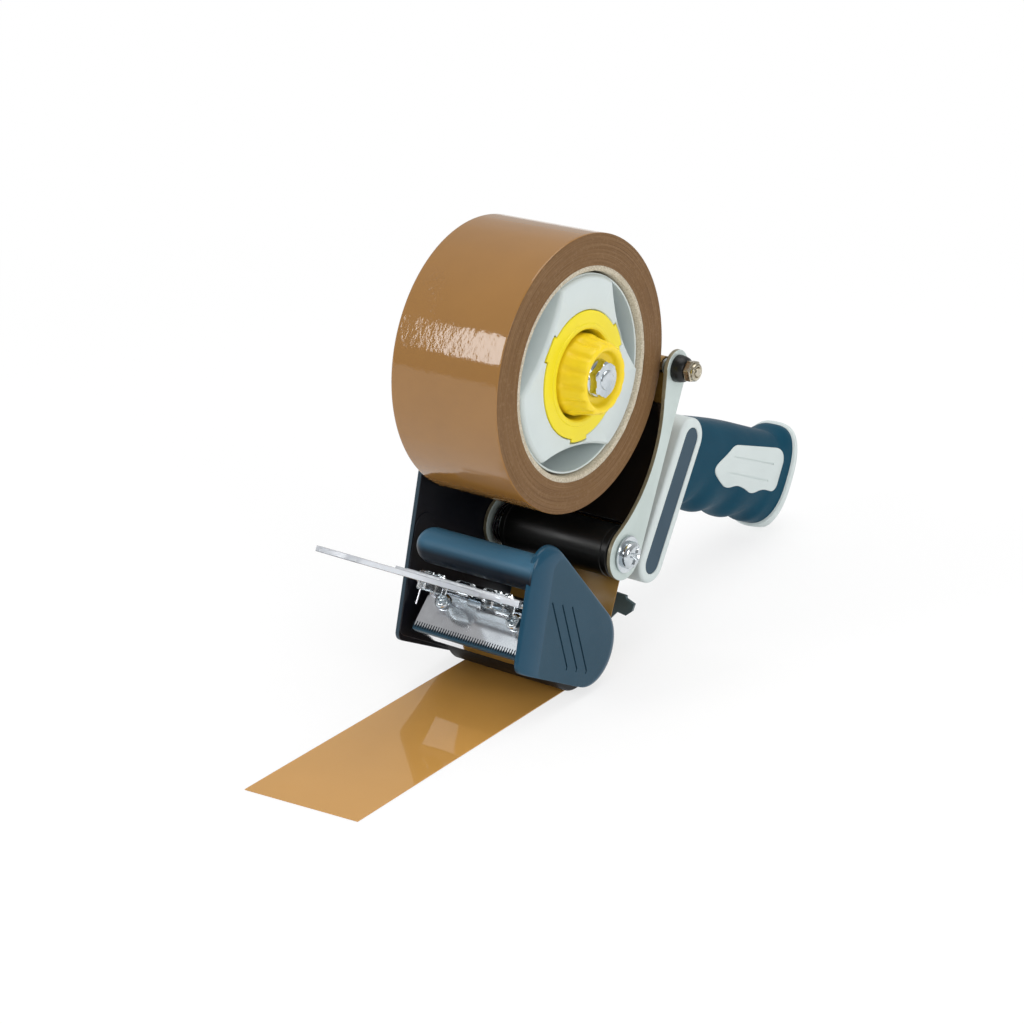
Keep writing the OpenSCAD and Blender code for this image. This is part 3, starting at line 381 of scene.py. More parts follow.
def finish(name, plain, **used):
    # a material: plain values go on the shader's own sockets, and each effect gets its values in its inputs' order
    material = bpy.data.materials.new(name)
    material.use_nodes = True
    tree = material.node_tree
    shader = tree.nodes["Principled BSDF"]
    for socket, value in plain.items():
        shader.inputs[socket].default_value = value
    for kind, values in used.items():
        n = addNode(tree, "Group", node_tree=effects[kind])
        for socket, value in zip(n.inputs, values):
            socket.default_value = paint(*value) if isinstance(value, tuple) else value
        for result in n.outputs:
            tree.links.new(result, shader.inputs["Base Color" if result.name == "Color" else result.name])
    return material


specular, coat, coatRoughness = "Specular IOR Level", "Coat Weight", "Coat Roughness"
bluePlastic = finish("bluePlastic", {specular: 0.1, coat: 0.1, coatRoughness: 0.2},
    mottle=((44, 73, 90), (37, 67, 84), 40, 0.6), smudge=(0.36, 0.5, 60), grain=(2600, 0.22))
gripRubber = finish("gripRubber", {specular: 0.05}, mottle=((16, 66, 86), (10, 58, 78), 35, 0.6),
    smudge=(0.34, 0.48, 50), grain=(3200, 0.3))
# the cheek's rounded front edge: a glossier coat, and a darker, more saturated copy of the blue that is painted shade
# for how light falls on the curve
bluePolish = finish("bluePolish", {specular: 0.1, coat: 0.45, coatRoughness: 0.16},
    mottle=((22, 68, 91), (16, 62, 85), 40, 0.6), smudge=(0.3, 0.42, 60), grain=(2600, 0.1))
# the bar's lighter top and near-black underside are painted light and painted shade, not two colours of plastic
barPlastic = finish("barPlastic", {specular: 0.15}, shade=((58, 98, 122), (0, 12, 26), 0.061, 0.0662),
    smudge=(0.3, 0.4, 60), grain=(2600, 0.18))
panelPlastic = finish("panelPlastic", {specular: 0.2}, mottle=((60, 80, 94), (53, 73, 87), 60, 0.6),
    smudge=(0.5, 0.62, 50), grain=(2600, 0.25))
greyPlastic = finish("greyPlastic", {specular: 0.4}, mottle=((206, 215, 214), (198, 208, 207), 30, 0.6),
    smudge=(0.38, 0.52, 45), grain=(2200, 0.18))
yellowDisc = finish("yellowDisc", {specular: 0.4}, mottle=((238, 220, 34), (230, 211, 28), 40, 0.6),
    smudge=(0.32, 0.46, 50), grain=(2400, 0.12))
yellowKnob = finish("yellowKnob", {specular: 0.4}, mottle=((244, 214, 34), (238, 205, 28), 50, 0.6),
    smudge=(0.28, 0.42, 50), grain=(2400, 0.1))
sideSteel = finish("sideSteel", {specular: 0.35}, mottle=((20, 23, 32), (15, 17, 24), 30, 0.7),
    smudge=(0.3, 0.45, 40), grain=(1800, 0.35))
# lighter teal for the side plate's edges: painted highlight where the edges catch the light
sideEdge = finish("sideEdge", {specular: 0.3}, mottle=((42, 62, 74), (34, 52, 64), 60, 0.6), smudge=(0.3, 0.45, 60),
    grain=(1800, 0.2))
tabSteel = finish("tabSteel", {"Metallic": 0.4, specular: 0.5}, mottle=((74, 92, 96), (60, 78, 84), 60, 0.6),
    smudge=(0.32, 0.5, 60), grain=(1800, 0.2))
blackGloss = finish("blackGloss", {specular: 0.5, coat: 0.3, coatRoughness: 0.08},
    mottle=((14, 14, 14), (10, 10, 10), 40, 0.6), brushed=(60, 3500, 0.16, 0.24, 0.06))
blackRubber = finish("blackRubber", {specular: 0.3}, mottle=((16, 17, 18), (24, 24, 25), 90, 0.5),
    smudge=(0.42, 0.6, 70), grain=(2600, 0.3))
blackPlastic = finish("blackPlastic", {specular: 0.35}, mottle=((12, 13, 12), (18, 18, 18), 60, 0.5),
    smudge=(0.3, 0.42, 80), grain=(1600, 0.12))
armZinc = finish("armZinc", {"Metallic": 0.2, specular: 0.4}, mottle=((196, 208, 205), (182, 194, 190), 50, 0.7),
    brushed=(1400, 1400, 0.28, 0.4, 0.08))
# brownish colour on the arm plates' edges: painted reflection of the brown tape
armEdge = finish("armEdge", {"Metallic": 0.2, specular: 0.5}, mottle=((140, 132, 108), (104, 96, 76), 120, 0.8),
    smudge=(0.3, 0.5, 200), grain=(1500, 0.2))
brightZinc = finish("brightZinc", {"Metallic": 1.0}, mottle=((212, 218, 222), (176, 186, 192), 120, 0.7),
    smudge=(0.12, 0.24, 120), grain=(1500, 0.04))
yellowZinc = finish("yellowZinc", {"Metallic": 1.0}, mottle=((216, 208, 190), (150, 142, 122), 260, 0.9),
    smudge=(0.16, 0.3, 260), grain=(1500, 0.1))
springSteel = finish("springSteel", {"Metallic": 1.0}, mottle=((70, 68, 66), (34, 32, 32), 300, 0.9),
    smudge=(0.16, 0.3, 220), grain=(1500, 0.1))
bladeSteel = finish("bladeSteel", {"Metallic": 1.0}, mottle=((220, 222, 226), (196, 198, 202), 60, 0.8),
    brushed=(90, 3000, 0.08, 0.16, 0.05))
mirrorSteel = finish("mirrorSteel", {"Metallic": 1.0}, mottle=((232, 232, 236), (214, 214, 220), 60, 0.6),
    smudge=(0.04, 0.1, 60))
clearEdge = finish("clearEdge", {"Base Color": (0.8, 0.83, 0.88, 1), "Transmission Weight": 0.55, "IOR": 1.46},
    smudge=(0.08, 0.2, 80))
clearPlastic = finish("clearPlastic", {"Base Color": (0.88, 0.925, 0.945, 1), "Transmission Weight": 1.0, "IOR": 1.46},
    smudge=(0.01, 0.05, 80))
fibre = finish("fibre", {specular: 0.2, "Roughness": 0.8}, mottle=((96, 74, 52), (78, 58, 40), 300, 0.8),
    grain=(1500, 0.4))
cardboard = finish("cardboard", {specular: 0.15, "Roughness": 0.85},
    mottle=((208, 200, 182), (168, 156, 134), 1500, 0.9), grain=(2200, 0.8))
rollFace = finish("rollFace", {specular: 0.1}, windings=((118, 88, 57), (97, 71, 46), (138, 110, 80), 0.35),
    smudge=(0.4, 0.55, 60))
rollSide = finish("rollSide", {specular: 0.6}, mottle=((150, 108, 56), (138, 99, 52), 14, 0.7),
    smudge=(0.03, 0.08, 30), crinkle=(0.14, 0.35, 0.68, 0.12))
tapeFilm = finish("tapeFilm", {specular: 0.1, coat: 1.0, coatRoughness: 0.03},
    mottle=((198, 147, 74), (190, 140, 68), 10, 0.7), smudge=(0.34, 0.42, 24), crinkle=(0.05, 0.15, 0.6))
webFilm = finish("webFilm", {specular: 0.1, coat: 0.6, coatRoughness: 0.1},
    mottle=((160, 122, 60), (148, 112, 52), 14, 0.7), smudge=(0.34, 0.42, 24), crinkle=(0.1, 0.2, 0.6))
# near-black for the painted shade in the gaps between the blade's teeth
darkLine = finish("darkLine", {specular: 0.1, "Roughness": 0.7}, mottle=((26, 36, 44), (20, 28, 36), 100, 0.5))
print("finishes made")

# camera, floor and light
view = {"lens": 88.348, "azimuth": 37.2867, "elevation": 22.3675, "roll": -1.44259,
        "place": (0.72659, 0.55167, 0.44646)}
a, e, t = (math.radians(view[k]) for k in ("azimuth", "elevation", "roll"))
backward = Vector((math.cos(e) * math.cos(a), math.cos(e) * math.sin(a), math.sin(e)))
right = Vector((-math.sin(a), math.cos(a), 0))
up = backward.cross(right)
rightTurned = math.cos(t) * right + math.sin(t) * up
upTurned = -math.sin(t) * right + math.cos(t) * up
cameraData = bpy.data.cameras.new("camera")
cameraData.lens, cameraData.sensor_width, cameraData.sensor_fit = view["lens"], 36, "HORIZONTAL"
camera = bpy.data.objects.new("camera", cameraData)
camera.matrix_world = Matrix.Translation(view["place"]) @ Matrix(
    (rightTurned, upTurned, backward)).transposed().to_4x4()
scene.collection.objects.link(camera)
scene.camera = camera
scene.view_settings.view_transform = "Standard"

studio = {"floorSize": 6.0, "floorDrop": 0.00005, "floorShade": 0.93,
          "shadow": 0.72, "fade": (0.25, 0.7),  # the shadow fades out over these distances
          "ambient": 0.66, "darkSide": (-0.75, -0.56, 0.2), "gloss": (-0.5, 0.6, 0.28, 0.6),
          "aim": (-0.03, 0, 0.09),
          "lamps": [  # name, place, size, watts, turn
              ("key", (1.174, -0.671, 0.805), 0.5, 6.0, 13),
              ("side", (0.5, 1.5, 0.7), 0.8, 7.0, 0),
              ("top", (-0.3, 0.1, 1.6), 1.2, 10.0, 0)]}


def seesBackground(tree):
    # 1 for rays that should meet the white background, and 1 for reflections
    rays = addNode(tree, "LightPath").outputs
    return compute(tree, "MAXIMUM", rays["Is Camera Ray"], rays["Is Transmission Ray"]), rays["Is Glossy Ray"]


def choose(tree, share, first, second):
    return addNode(tree, "Mix", {0: share, 2: first, 3: second}, data_type="FLOAT").outputs[0]


world = bpy.data.worlds.new("studio")
scene.world = world
world.use_nodes = True
tree = world.node_tree
seen, glossy = seesBackground(tree)
direction = addNode(tree, "TexCoord").outputs["Generated"]
away = addNode(tree, "VectorMath", {0: direction, 1: studio["darkSide"]}, operation="DOT_PRODUCT").outputs["Value"]
level = choose(tree, glossy, studio["ambient"], ramp(tree, away, *studio["gloss"]))
background = tree.nodes["Background"]
tree.links.new(choose(tree, seen, level, 1.0), background.inputs["Strength"])
background.inputs["Color"].default_value = (1, 1, 1, 1)

floorMesh = bpy.data.meshes.new("floor")
s = studio["floorSize"] / 2
floorMesh.from_pydata([(-s, -s, 0), (s, -s, 0), (s, s, 0), (-s, s, 0)], [], [(0, 1, 2, 3)])
floor = bpy.data.objects.new("floor", floorMesh)
floor.location.z = -studio["floorDrop"]
scene.collection.objects.link(floor)
floorFinish = bpy.data.materials.new("floor")
floorFinish.use_nodes = True
tree = floorFinish.node_tree
shader = tree.nodes["Principled BSDF"]
for socket, value in (("Base Color", (studio["floorShade"],) * 3 + (1,)), ("Roughness", 0.9), (specular, 0.0)):
    shader.inputs[socket].default_value = value
white = addNode(tree, "Emission", {"Color": (1, 1, 1, 1), "Strength": 1.0})
anySeen = compute(tree, "MAXIMUM", *seesBackground(tree))
distance = addNode(tree, "VectorMath", {0: objectPoint(tree)}, operation="LENGTH").outputs["Value"]
whiteness = ramp(tree, distance, *studio["fade"], studio["shadow"])
mixed = addNode(tree, "MixShader", {0: compute(tree, "MULTIPLY", anySeen, whiteness), 1: shader.outputs[0],
                                    2: white.outputs[0]})
tree.links.new(mixed.outputs[0], tree.nodes["Material Output"].inputs["Surface"])
floorMesh.materials.append(floorFinish)

for name, place, size, watts, turn in studio["lamps"]:
    lamp = bpy.data.lights.new(name, "AREA")
    lamp.shape, lamp.size, lamp.energy = "SQUARE", size, watts
    lampObject = bpy.data.objects.new(name, lamp)
    lampObject.location = place
    aim = Vector(studio["aim"]) - Vector(place)
    lampObject.rotation_euler = (aim.to_track_quat("-Z", "Y").to_matrix()
                                 @ Matrix.Rotation(math.radians(turn), 3, "Z")).to_euler()
    scene.collection.objects.link(lampObject)
print("camera and studio set")

# side plate and rear guide
sidePlate = {"inner": -32.4, "outer": -34.4, "bevel": 0.35, "rollRadius": 16, "headRadius": 8.85,
             "nose": [(-33.02, 21.0, 9.0), (-2.0, 15.9, 13.5), (31.48, 23.22, 4.02)]}
outline = wrap(sidePlate["nose"] + [(*roll, sidePlate["rollRadius"]), (*headHigh, sidePlate["headRadius"])], 20)
Shape().prism(outline, sidePlate["outer"], sidePlate["inner"], slot=1, capSlot=0).build(
    "sidePlate", [sideSteel, sideEdge], "side_steel", "side_plate", bevel=sidePlate["bevel"])

rearGuide = {"x": -39.5, "t": 1.5, "z": 11.5, "h": 15.5, "low": 17.1, "reach": 7.9,
             "tab": [(0, .13), (.61, .48), (1.13, .44), (1.14, .44), (1.51, .6), (1.66, .82), (1.16, .92),
                     (1.16, 1), (.52, 1.02), (0, 1)]}
g = rearGuide
outline = [(sidePlate["inner"], g["h"]), (sidePlate["inner"], 0.13 * g["h"])]
outline += [(g["low"] + g["reach"] * u, g["h"] * v) for u, v in g["tab"]]
Shape().rings([[(x, y, g["z"] + z) for y, z in outline] for x in (g["x"], g["x"] + g["t"])]).build(
    "rearGuide", tabSteel, "tab_steel", "rear_guide", bevel=0.3)
print("side plate made")

# nose: far wall, cheek, bar and shelf
nose = {"farWall": [(-2, 15.9, 12.6), (31, 25.5, 4.02), (17.2, 63.3, 6)],
        "cheek": [(-5, 18.48, 16.02), (37.3, 28.98, 4.98), (22.48, 61.5, 10.02)],
        "cheekFace": [(-0.8, 20.95, 16.02), (29.6, 22.7, 3.0), (16.7, 59.7, 4.98)],
        "wallIn": -31.9, "low": 29.4, "rim": 30.6, "outer": 34.0, "foot": 1.2, "footRise": 0.35, "steps": 14,
        "grooves": [(22.66, 49.1), (13.95, 18.2)], "grooveStep": (-6.48, -3.36), "grooveWidth": 0.8,
        "grooveDepth": 0.6, "hook": (1.1, 1.0, 0.1), "barRadius": 7.2, "barEnds": (-26.8, 31.5),
        "across": (-26.3, 30.2), "shelf": [(-20, -0.8), (1.2, -0.8), (1.2, -3.4), (-20, -3.4)]}
Shape().prism(wrap(nose["farWall"], 20), sidePlate["inner"], nose["wallIn"]).build(
    "noseFarWall", sideSteel, "blue_plastic", bevel=0.5, segments=3)

outer, face = wrap(nose["cheek"], 28), wrap(nose["cheekFace"], 28)
inner = wrap([(x, z, r - nose["foot"]) for x, z, r in nose["cheek"]], 28)
rings = [[(x, nose["low"], z) for x, z in inner], [(x, nose["low"] + nose["footRise"], z) for x, z in outer]]
for k in range(nose["steps"] + 1):
    # the front edge rolls over into the face, fuller than a straight slope
    turn = k / nose["steps"] * quarterTurn
    share, y = 1 - math.cos(turn), nose["rim"] + (nose["outer"] - nose["rim"]) * math.sin(turn)
    rings.append([(p[0] + (q[0] - p[0]) * share, y, p[1] + (q[1] - p[1]) * share) for p, q in zip(outer, face)])
cheek = Shape().rings(rings, slot=1, capSlot=0).build(
    "noseCheek", [bluePlastic, bluePolish], "blue_plastic", "nose_housing", sharp=40)
cutter = Shape()
for k in range(3):
    a, b = ((x + k * nose["grooveStep"][0], z + k * nose["grooveStep"][1]) for x, z in nose["grooves"])
    d = (Vector(b) - Vector(a)).normalized()
    on, x, z = nose["hook"]
    hooked = [a, b, (b[0] + on * d.x + x, b[1] + on * d.y + z)]
    cutter.prism(ribbon(hooked, nose["grooveWidth"]), nose["outer"] - nose["grooveDepth"], nose["outer"] + 1)
carve(cheek, cutter)

r, (barFar, barNear) = nose["barRadius"], nose["barEnds"]
profile = [(r * math.sin(k / 16 * quarterTurn), barFar + r * (1 - math.cos(k / 16 * quarterTurn)))
           for k in range(17)] + [(r, barNear), (0, barNear)]
Shape().lathe(bar, profile).build("noseBar", barPlastic, "blue_plastic")

# the polished plate lies on the shelf's lower part
wiper = {"top": (32.62, 25.44), "low": (22.6, 17.52), "across": (-25.8, 23.7), "t": 1.2, "under": 2.6}
back = Vector((wiper["low"][1] - wiper["top"][1], wiper["top"][0] - wiper["low"][0])).normalized()


def behindWiper(depth):
    return [(p[0] + back.x * depth, p[1] + back.y * depth) for p in (wiper["top"], wiper["low"])]


shelf = Shape().rings([[onBlade((x, y, z)) for x, z in nose["shelf"]] for y in nose["across"]])
shelf.prism(ribbon(behindWiper(2.5), wiper["under"]), *nose["across"])
shelf.build("noseShelf", bluePlastic, "blue_plastic", bevel=0.25)
# bright line under the bar: a thin mirror-steel rod that stands in for a highlight along an inner edge of the nose, a
# painted highlight
edgeHighlight = {"place": (31.0, 56.1), "across": (7.5, 17, 26.8), "radius": 0.12}
Shape().tube([(edgeHighlight["place"][0], y, edgeHighlight["place"][1]) for y in edgeHighlight["across"]], edgeHighlight["radius"], 8).build(
    "noseSeam", mirrorSteel, "blue_plastic")
print("nose made")

# blade, its screws and the polished plate
blade = {"width": 51.6, "depth": 18.0, "t": 0.8, "pitch": 1.2, "tooth": 1.2, "root": 0.12, "tip": (0.25, 0.08),
         "screwBack": 12.6, "screwSide": 17.5,
         "slit": ((-2.05, 0.6), 0.2, 0.06), "screwRadius": 3.4, "screwHeight": 2.3}
b = blade
count, (drop, half) = round(b["width"] / b["pitch"]), b["tip"]
outline = [(-b["depth"], -b["width"] / 2)]
for k in range(count):
    y = (k - count / 2) * b["pitch"]
    outline += [(-b["tooth"], y + b["root"]), (-drop, y + b["pitch"] * (0.5 - half)), (0, y + b["pitch"] * 0.5),
                (-drop, y + b["pitch"] * (0.5 + half)), (-b["tooth"], y + b["pitch"] - b["root"])]
outline += [(-b["depth"], b["width"] / 2)]
Shape().rings([[onBlade((x, y, z)) for x, y in outline] for z in (-b["t"], 0)]).build(
    "cuttingBlade", bladeSteel, "blade_steel", "blade", sharp=20)
gapShades = Shape()  # thin dark boxes laid over the gaps between the teeth: painted shade
(x1, x2), half, rise = b["slit"]
for k in range(count + 1):
    y = (k - count / 2) * b["pitch"]
    gapShades.box((x1, y - half, 0.0), (x2, y + half, rise), place=onBlade)
gapShades.build("toothSlits", darkLine, "blade_steel")


# the screws' heads: shares of radius and height, and the cross in the top as shares too
screwHead = {"levels": [(1.0, 0.0), (1.0, 0.35), (0.94, 0.66), (0.8, 0.88), (0.62, 0.97), (0.44, 1.0), (0.3, 1.0),
                        (0.14, 1.0), (0.0, 1.0)],
             "slotHalf": 0.15, "slotReach": 0.62, "depth": 0.45, "from": 0.97, "power": 6}


def crossHead(shape, place, radius, height, sides, turn=0.3):
    # pan head whose top carries a cross recess, drawn on a polar grid
    c, s, k = math.cos(turn), math.sin(turn), screwHead
    rings = []
    for share, rise in k["levels"]:
        ring = []
        for angle in evenAngles(sides):
            x, y = radius * share * math.cos(angle), radius * share * math.sin(angle)
            u, v = abs(x * c + y * s), abs(-x * s + y * c)
            farthest = max(min(u, v) / (k["slotHalf"] * radius), max(u, v) / (k["slotReach"] * radius))
            inCross = max(0, 1 - farthest ** k["power"])
            ring.append((x, y, height * rise - (k["depth"] * height * inCross if rise >= k["from"] else 0)))
        rings.append(ring)
    shape.rings(rings, place=place)
    return shape


screws = Shape()
for side in (-1, 1):
    crossHead(screws, lambda p, side=side: onBlade((p[0] - b["screwBack"], p[1] + side * b["screwSide"], p[2])),
              b["screwRadius"], b["screwHeight"], 72)
screws.build("bladeScrews", brightZinc, "bright_zinc", "blade_screws", sharp=50)
Shape().prism(ribbon(behindWiper(wiper["t"] / 2), wiper["t"]), *wiper["across"]).build(
    "wiperPlate", mirrorSteel, "mirror_steel", "wiper_plate", bevel=0.15)
print("blade made")

# rollers, as rows of radius and Y
rollers = {"guide": [(5.1, -24.9), (9.2, -24.9), (10.0, -24.7), (10.6, -24.1), (10.6, -22.2), (10.25, -22.0),
                     (10.25, -21.5), (10.6, -21.3), (10.6, 25.2), (10.25, 25.4), (10.25, 25.9), (10.6, 26.1),
                     (10.6, 28.0), (10.0, 28.5), (5.1, 28.5)],
           "applicator": [(12.8, -27.2), (14.6, -27.2), (15.2, -26.6), (15.2, 26.8), (14.6, 27.4), (12.8, 27.4),
                          (12.6, 25.4), (6.0, 25.4), (6.0, 27.4), (4.1, 27.4), (4.1, -27.2), (6.0, -27.2),
                          (6.0, -25.2), (12.6, -25.2)],
           "silencer": [(2.1, -26), (2.8, -26), (3.2, -25.6), (3.2, 25.6), (2.8, 26), (2.1, 26)]}
for body, centre, sides, look, slotName in (("guide", guide, 128, blackPlastic, "black_plastic"),
                                            ("applicator", applicator, 128, blackRubber, "black_rubber"),
                                            ("silencer", silencer, 48, brightZinc, "bright_zinc")):
    Shape().lathe(centre, rollers[body], sides, loop=True).build(body + "Roller", look, slotName, body + "_roller",
                                                                 body=body)
print("rollers made")

# arm
armStyle = {"near": (29.2, 31.0), "far": (-32.1, -30.3), "topRadius": 7.5, "lowRadius": 11.0, "curve": 55.6,
            "from": 184, "to": 245.8, "shield": (58.0, 59.5), "shieldFrom": 187, "shieldTo": 238}
s = armStyle
edge = math.degrees(touchAngle((*silencer, s["topRadius"]), (*guide, s["lowRadius"])))


def armOutline():
    # top eye, straight back, low eye and the long hollow front
    concave = arc(armCurve, s["curve"], s["to"], s["from"], 48)
    gap = math.dist(concave[-1], silencer)
    start = math.degrees(math.atan2(concave[-1][1] - silencer[1], concave[-1][0] - silencer[0])
                         + math.acos(s["topRadius"] / gap))
    ending = math.degrees(math.atan2(concave[0][1] - guide[1], concave[0][0] - guide[0]))
    return (arc(silencer, s["topRadius"], start, edge % 360, 26)
            + arc(guide, s["lowRadius"], edge % 360, 360 + ending, 34) + concave[1:])


outline = armOutline()
for name, across, node in (("armNear", s["near"], "arm_near"), ("armFar", s["far"], "arm_far")):
    Shape().prism(outline, *across, slot=1, capSlot=0).build(
        name, [armZinc, armEdge], "arm_zinc", node, body="arm", bevel=0.3, segments=3)
inside, outside = s["shield"]
outline = (arc(armCurve, inside, s["shieldFrom"], s["shieldTo"], 60)
           + arc(armCurve, outside, s["shieldTo"], s["shieldFrom"], 60))
Shape().prism(outline, s["far"][1], s["near"][0]).build(
    "armShield", blackGloss, "black_gloss", "arm_shield", body="arm", bevel=0.2)

armFittings = {
    "screw": (5.6, 3.2, 96, 0.5),
    "washer": [(1.9, 31.3), (7.2, 31.3), (7.6, 31.6), (7.6, 32.1), (7.2, 32.4), (1.9, 32.4)],
    "bush": [(2.05, 31.0), (5.5, 31.0), (5.6, 31.5), (5.35, 33.6), (4.9, 35.0), (4.1, 35.8), (3.2, 36.0),
             (2.05, 36.0)],
    "nutAcross": 8, "nutTurn": 0.25, "nutLevels": ((0.9, 36.0), (1.0, 36.4), (1.0, 38.9), (0.94, 39.3)),
    "nutCollar": [(2.0, 39.0), (3.6, 39.0), (3.68, 39.6), (3.4, 40.3), (2.9, 40.6), (2.3, 40.5), (2.0, 40.0)],
    "bolt": [(0, -34.7), (3.2, -34.7), (3.6, -34.3), (3.6, -32.1), (2.0, -32.1), (2.0, 40.0), (1.6, 40.85),
             (0, 40.9)]}
f = armFittings
Shape().lathe(guide, f["washer"], 72, loop=True).build("armWasher", brightZinc, "bright_zinc", "arm_washer")
crossHead(Shape(), lambda p: (guide[0] + p[0], f["washer"][-1][1] + p[2], guide[1] + p[1]), *f["screw"]).build(
    "armScrew", brightZinc, "bright_zinc", "arm_screw", sharp=50)
Shape().lathe(silencer, f["bush"], 64, loop=True).build(
    "armBush", blackPlastic, "black_plastic", "arm_bush", body="arm")
r = f["nutAcross"] / math.sqrt(3)
nut = Shape().lathe(silencer, [(r * share, y) for share, y in f["nutLevels"]],
                    [f["nutTurn"] + a for a in evenAngles(6)])
nut.lathe(silencer, f["nutCollar"], 48, loop=True)
nut.build("armNut", yellowZinc, "yellow_zinc", "arm_nut", body="arm", bevel=0.12)
Shape().lathe(silencer, f["bolt"], 48).build("armBolt", yellowZinc, "bright_zinc", "arm_bolt", body="arm")
print("arm made")

# springs: radius, pitch, turns, first Y, first angle and the wire's radius
springs = {"arm": (8.4, 1.65, 2, -29.45, 180, 0.55), "brake": (9, 1.9, 2.25, 12.4, 0, 0.8),
           "guard": (2.5, 1.25, 2, -28.9, 210, 0.4), "perTurn": 36,
           "armLeg": (0.275, 2.8), "guardLeg": (11, 0.5, 0.866)}  # how far the straight ends go


def coilPath(centre, radius, pitch, turns, y, start, wire):
    n = springs["perTurn"]
    return [around(centre, radius, math.radians(start + 360 * i / n), y + pitch * i / n)
            for i in range(int(turns * n) + 1)]


path = coilPath(guide, *springs["arm"])
x, y, z = path[-1]
along, down = springs["armLeg"]
path += [(x, y + along * k / 3, z - down * k / 3) for k in range(1, 7)]
Shape().tube(path, springs["arm"][-1], 14).build("armSpring", springSteel, "bright_zinc", "arm_spring")
Shape().tube(coilPath(roll, *springs["brake"]), springs["brake"][-1], 14).build(
    "brakeSpring", brightZinc, "bright_zinc", "brake_spring")
path = coilPath(pivot, *springs["guard"])
x, y, z = path[0]
length, right, down = springs["guardLeg"]
leg = [(x + k * length / 8 * right, y, z - k * length / 8 * down) for k in range(8, 0, -1)]
Shape().tube(leg + path, springs["guard"][-1]).build("guardSpring", mirrorSteel, "bright_zinc", "guard_spring")
print("springs made")

# roll, core and hub
rollStyle = {"outer": 54.6, "core": 42.1, "half": 25.0, "sides": 256, "layers": 70, "rough": 0.09,
             "ends": (0.5, 1.1), "chamfer": (0.15, 0.12)}
r = rollStyle


def layerEnds(side, order):
    # the tape's edges, each a little in from the roll's end
    return [(r["core"] + 0.2 + (r["outer"] - r["core"] - 0.7) * k / r["layers"],
             side * (r["half"] - random.uniform(0, r["rough"]))) for k in order]


profile = [(r["core"], -r["half"])] + layerEnds(-1, range(r["layers"] + 1))
(first, second), (drop, back) = r["ends"], r["chamfer"]
profile += [(r["outer"] - drop, back - r["half"])]
profile += [(r["outer"], y) for y in (first - r["half"], second - r["half"], 0, r["half"] - second, r["half"] - first)]
profile += [(r["outer"] - drop, r["half"] - back)]
profile += layerEnds(1, range(r["layers"], -1, -1)) + [(r["core"], r["half"])]
shape = Shape().lathe(roll, profile, r["sides"], loop=True)
outerRings = {i for i, (radius, y) in enumerate(profile) if radius >= r["outer"] - 0.2}
for i in range(len(shape.faces)):
    if i // r["sides"] in outerRings and i // r["sides"] + 1 in outerRings:
        shape.slots[i] = 1
shape.build("tapeRoll", [rollFace, rollSide], "brown_tape_roll", "tape_roll", body="roll", sharp=60)

coreStyle = {"inner": 39.1, "outer": 42.1, "sides": 360, "rings": [  # radius, Y and how rough
    (39.1, -25, 0.0), (39.1, 17.0, 0.0), (39.75, 20.0, 0.1), (40.0, 24.6, 0.15), (40.3, 24.95, 0.2),
    (40.9, 25.0, 0.25), (41.6, 25.0, 0.2), (42.1, 24.9, 0.1), (42.1, -25, 0.1), (40.5, -25.02, 0.2)]}
rings = []
for radius, y, rough in coreStyle["rings"]:
    ring = []
    for a in evenAngles(coreStyle["sides"]):
        p = Vector((math.cos(a) * 9, math.sin(a) * 9, radius * 1.7))
        bump = rough * noise.noise(p) + 0.5 * rough * noise.noise(p * 3.1)
        torn = radius + (bump if 39.5 < radius < 42 else 0)
        torn = min(max(torn, coreStyle["inner"]), coreStyle["outer"])
        ring.append(around(roll, torn, a, y + (bump - 0.1 if y > 24 else 0)))
    rings.append(ring)
Shape().rings(rings, loop=True).build("tapeCore", cardboard, "cardboard", "tape_core", body="roll", sharp=60)

hubStyle = {"radius": 38.5, "cut": 10.0, "scallop": 78.0, "first": 38, "front": 24.88, "back": -25.3,
            "pocket": 25.3, "pocketFloor": 22.4, "tab": 1.7, "tabHalf": 12.2, "room": 19.6, "floor": 10.0,
            "bore": 6.1, "chamfer": 1.3,
            "flange": [(6.1, -27.3), (43.6, -27.3), (44.0, -26.9), (44.0, -25.6), (43.7, -25.3)],
            "skirt": [(38.2, -25.4), (38.2, 22.8), (38.35, 23.0), (38.85, 23.0), (39.0, 22.8), (39.0, -25.4)]}
h = hubStyle
tabPlaces = [h["first"] + 120 * k for k in range(3)]


def lobeRadius(angle):
    # distance from the axis to the edge of the three-lobed face
    best = h["radius"]
    reach = h["radius"] - h["cut"] + h["scallop"]
    for place in tabPlaces:
        d = (angle - math.radians(place) + math.pi) % fullTurn - math.pi
        inside = h["scallop"] ** 2 - (reach * math.sin(d)) ** 2
        if abs(d) < math.pi / 2 and inside > 0:
            best = min(best, reach * math.cos(d) - math.sqrt(inside))
    return best


def tabRadius(angle, plain, tab, half):
    near = any(abs((math.degrees(angle) - place + 180) % 360 - 180) < half for place in tabPlaces)
    return plain + tab if near else plain


def tabAngles(count, half):
    # even steps round the axis, and a close pair at each side of a tab
    return sorted(set(evenAngles(count)) | {
        math.radians(place + side * (half + d)) % fullTurn for place in tabPlaces for side in (-1, 1)
        for d in (-0.05, 0.05)})


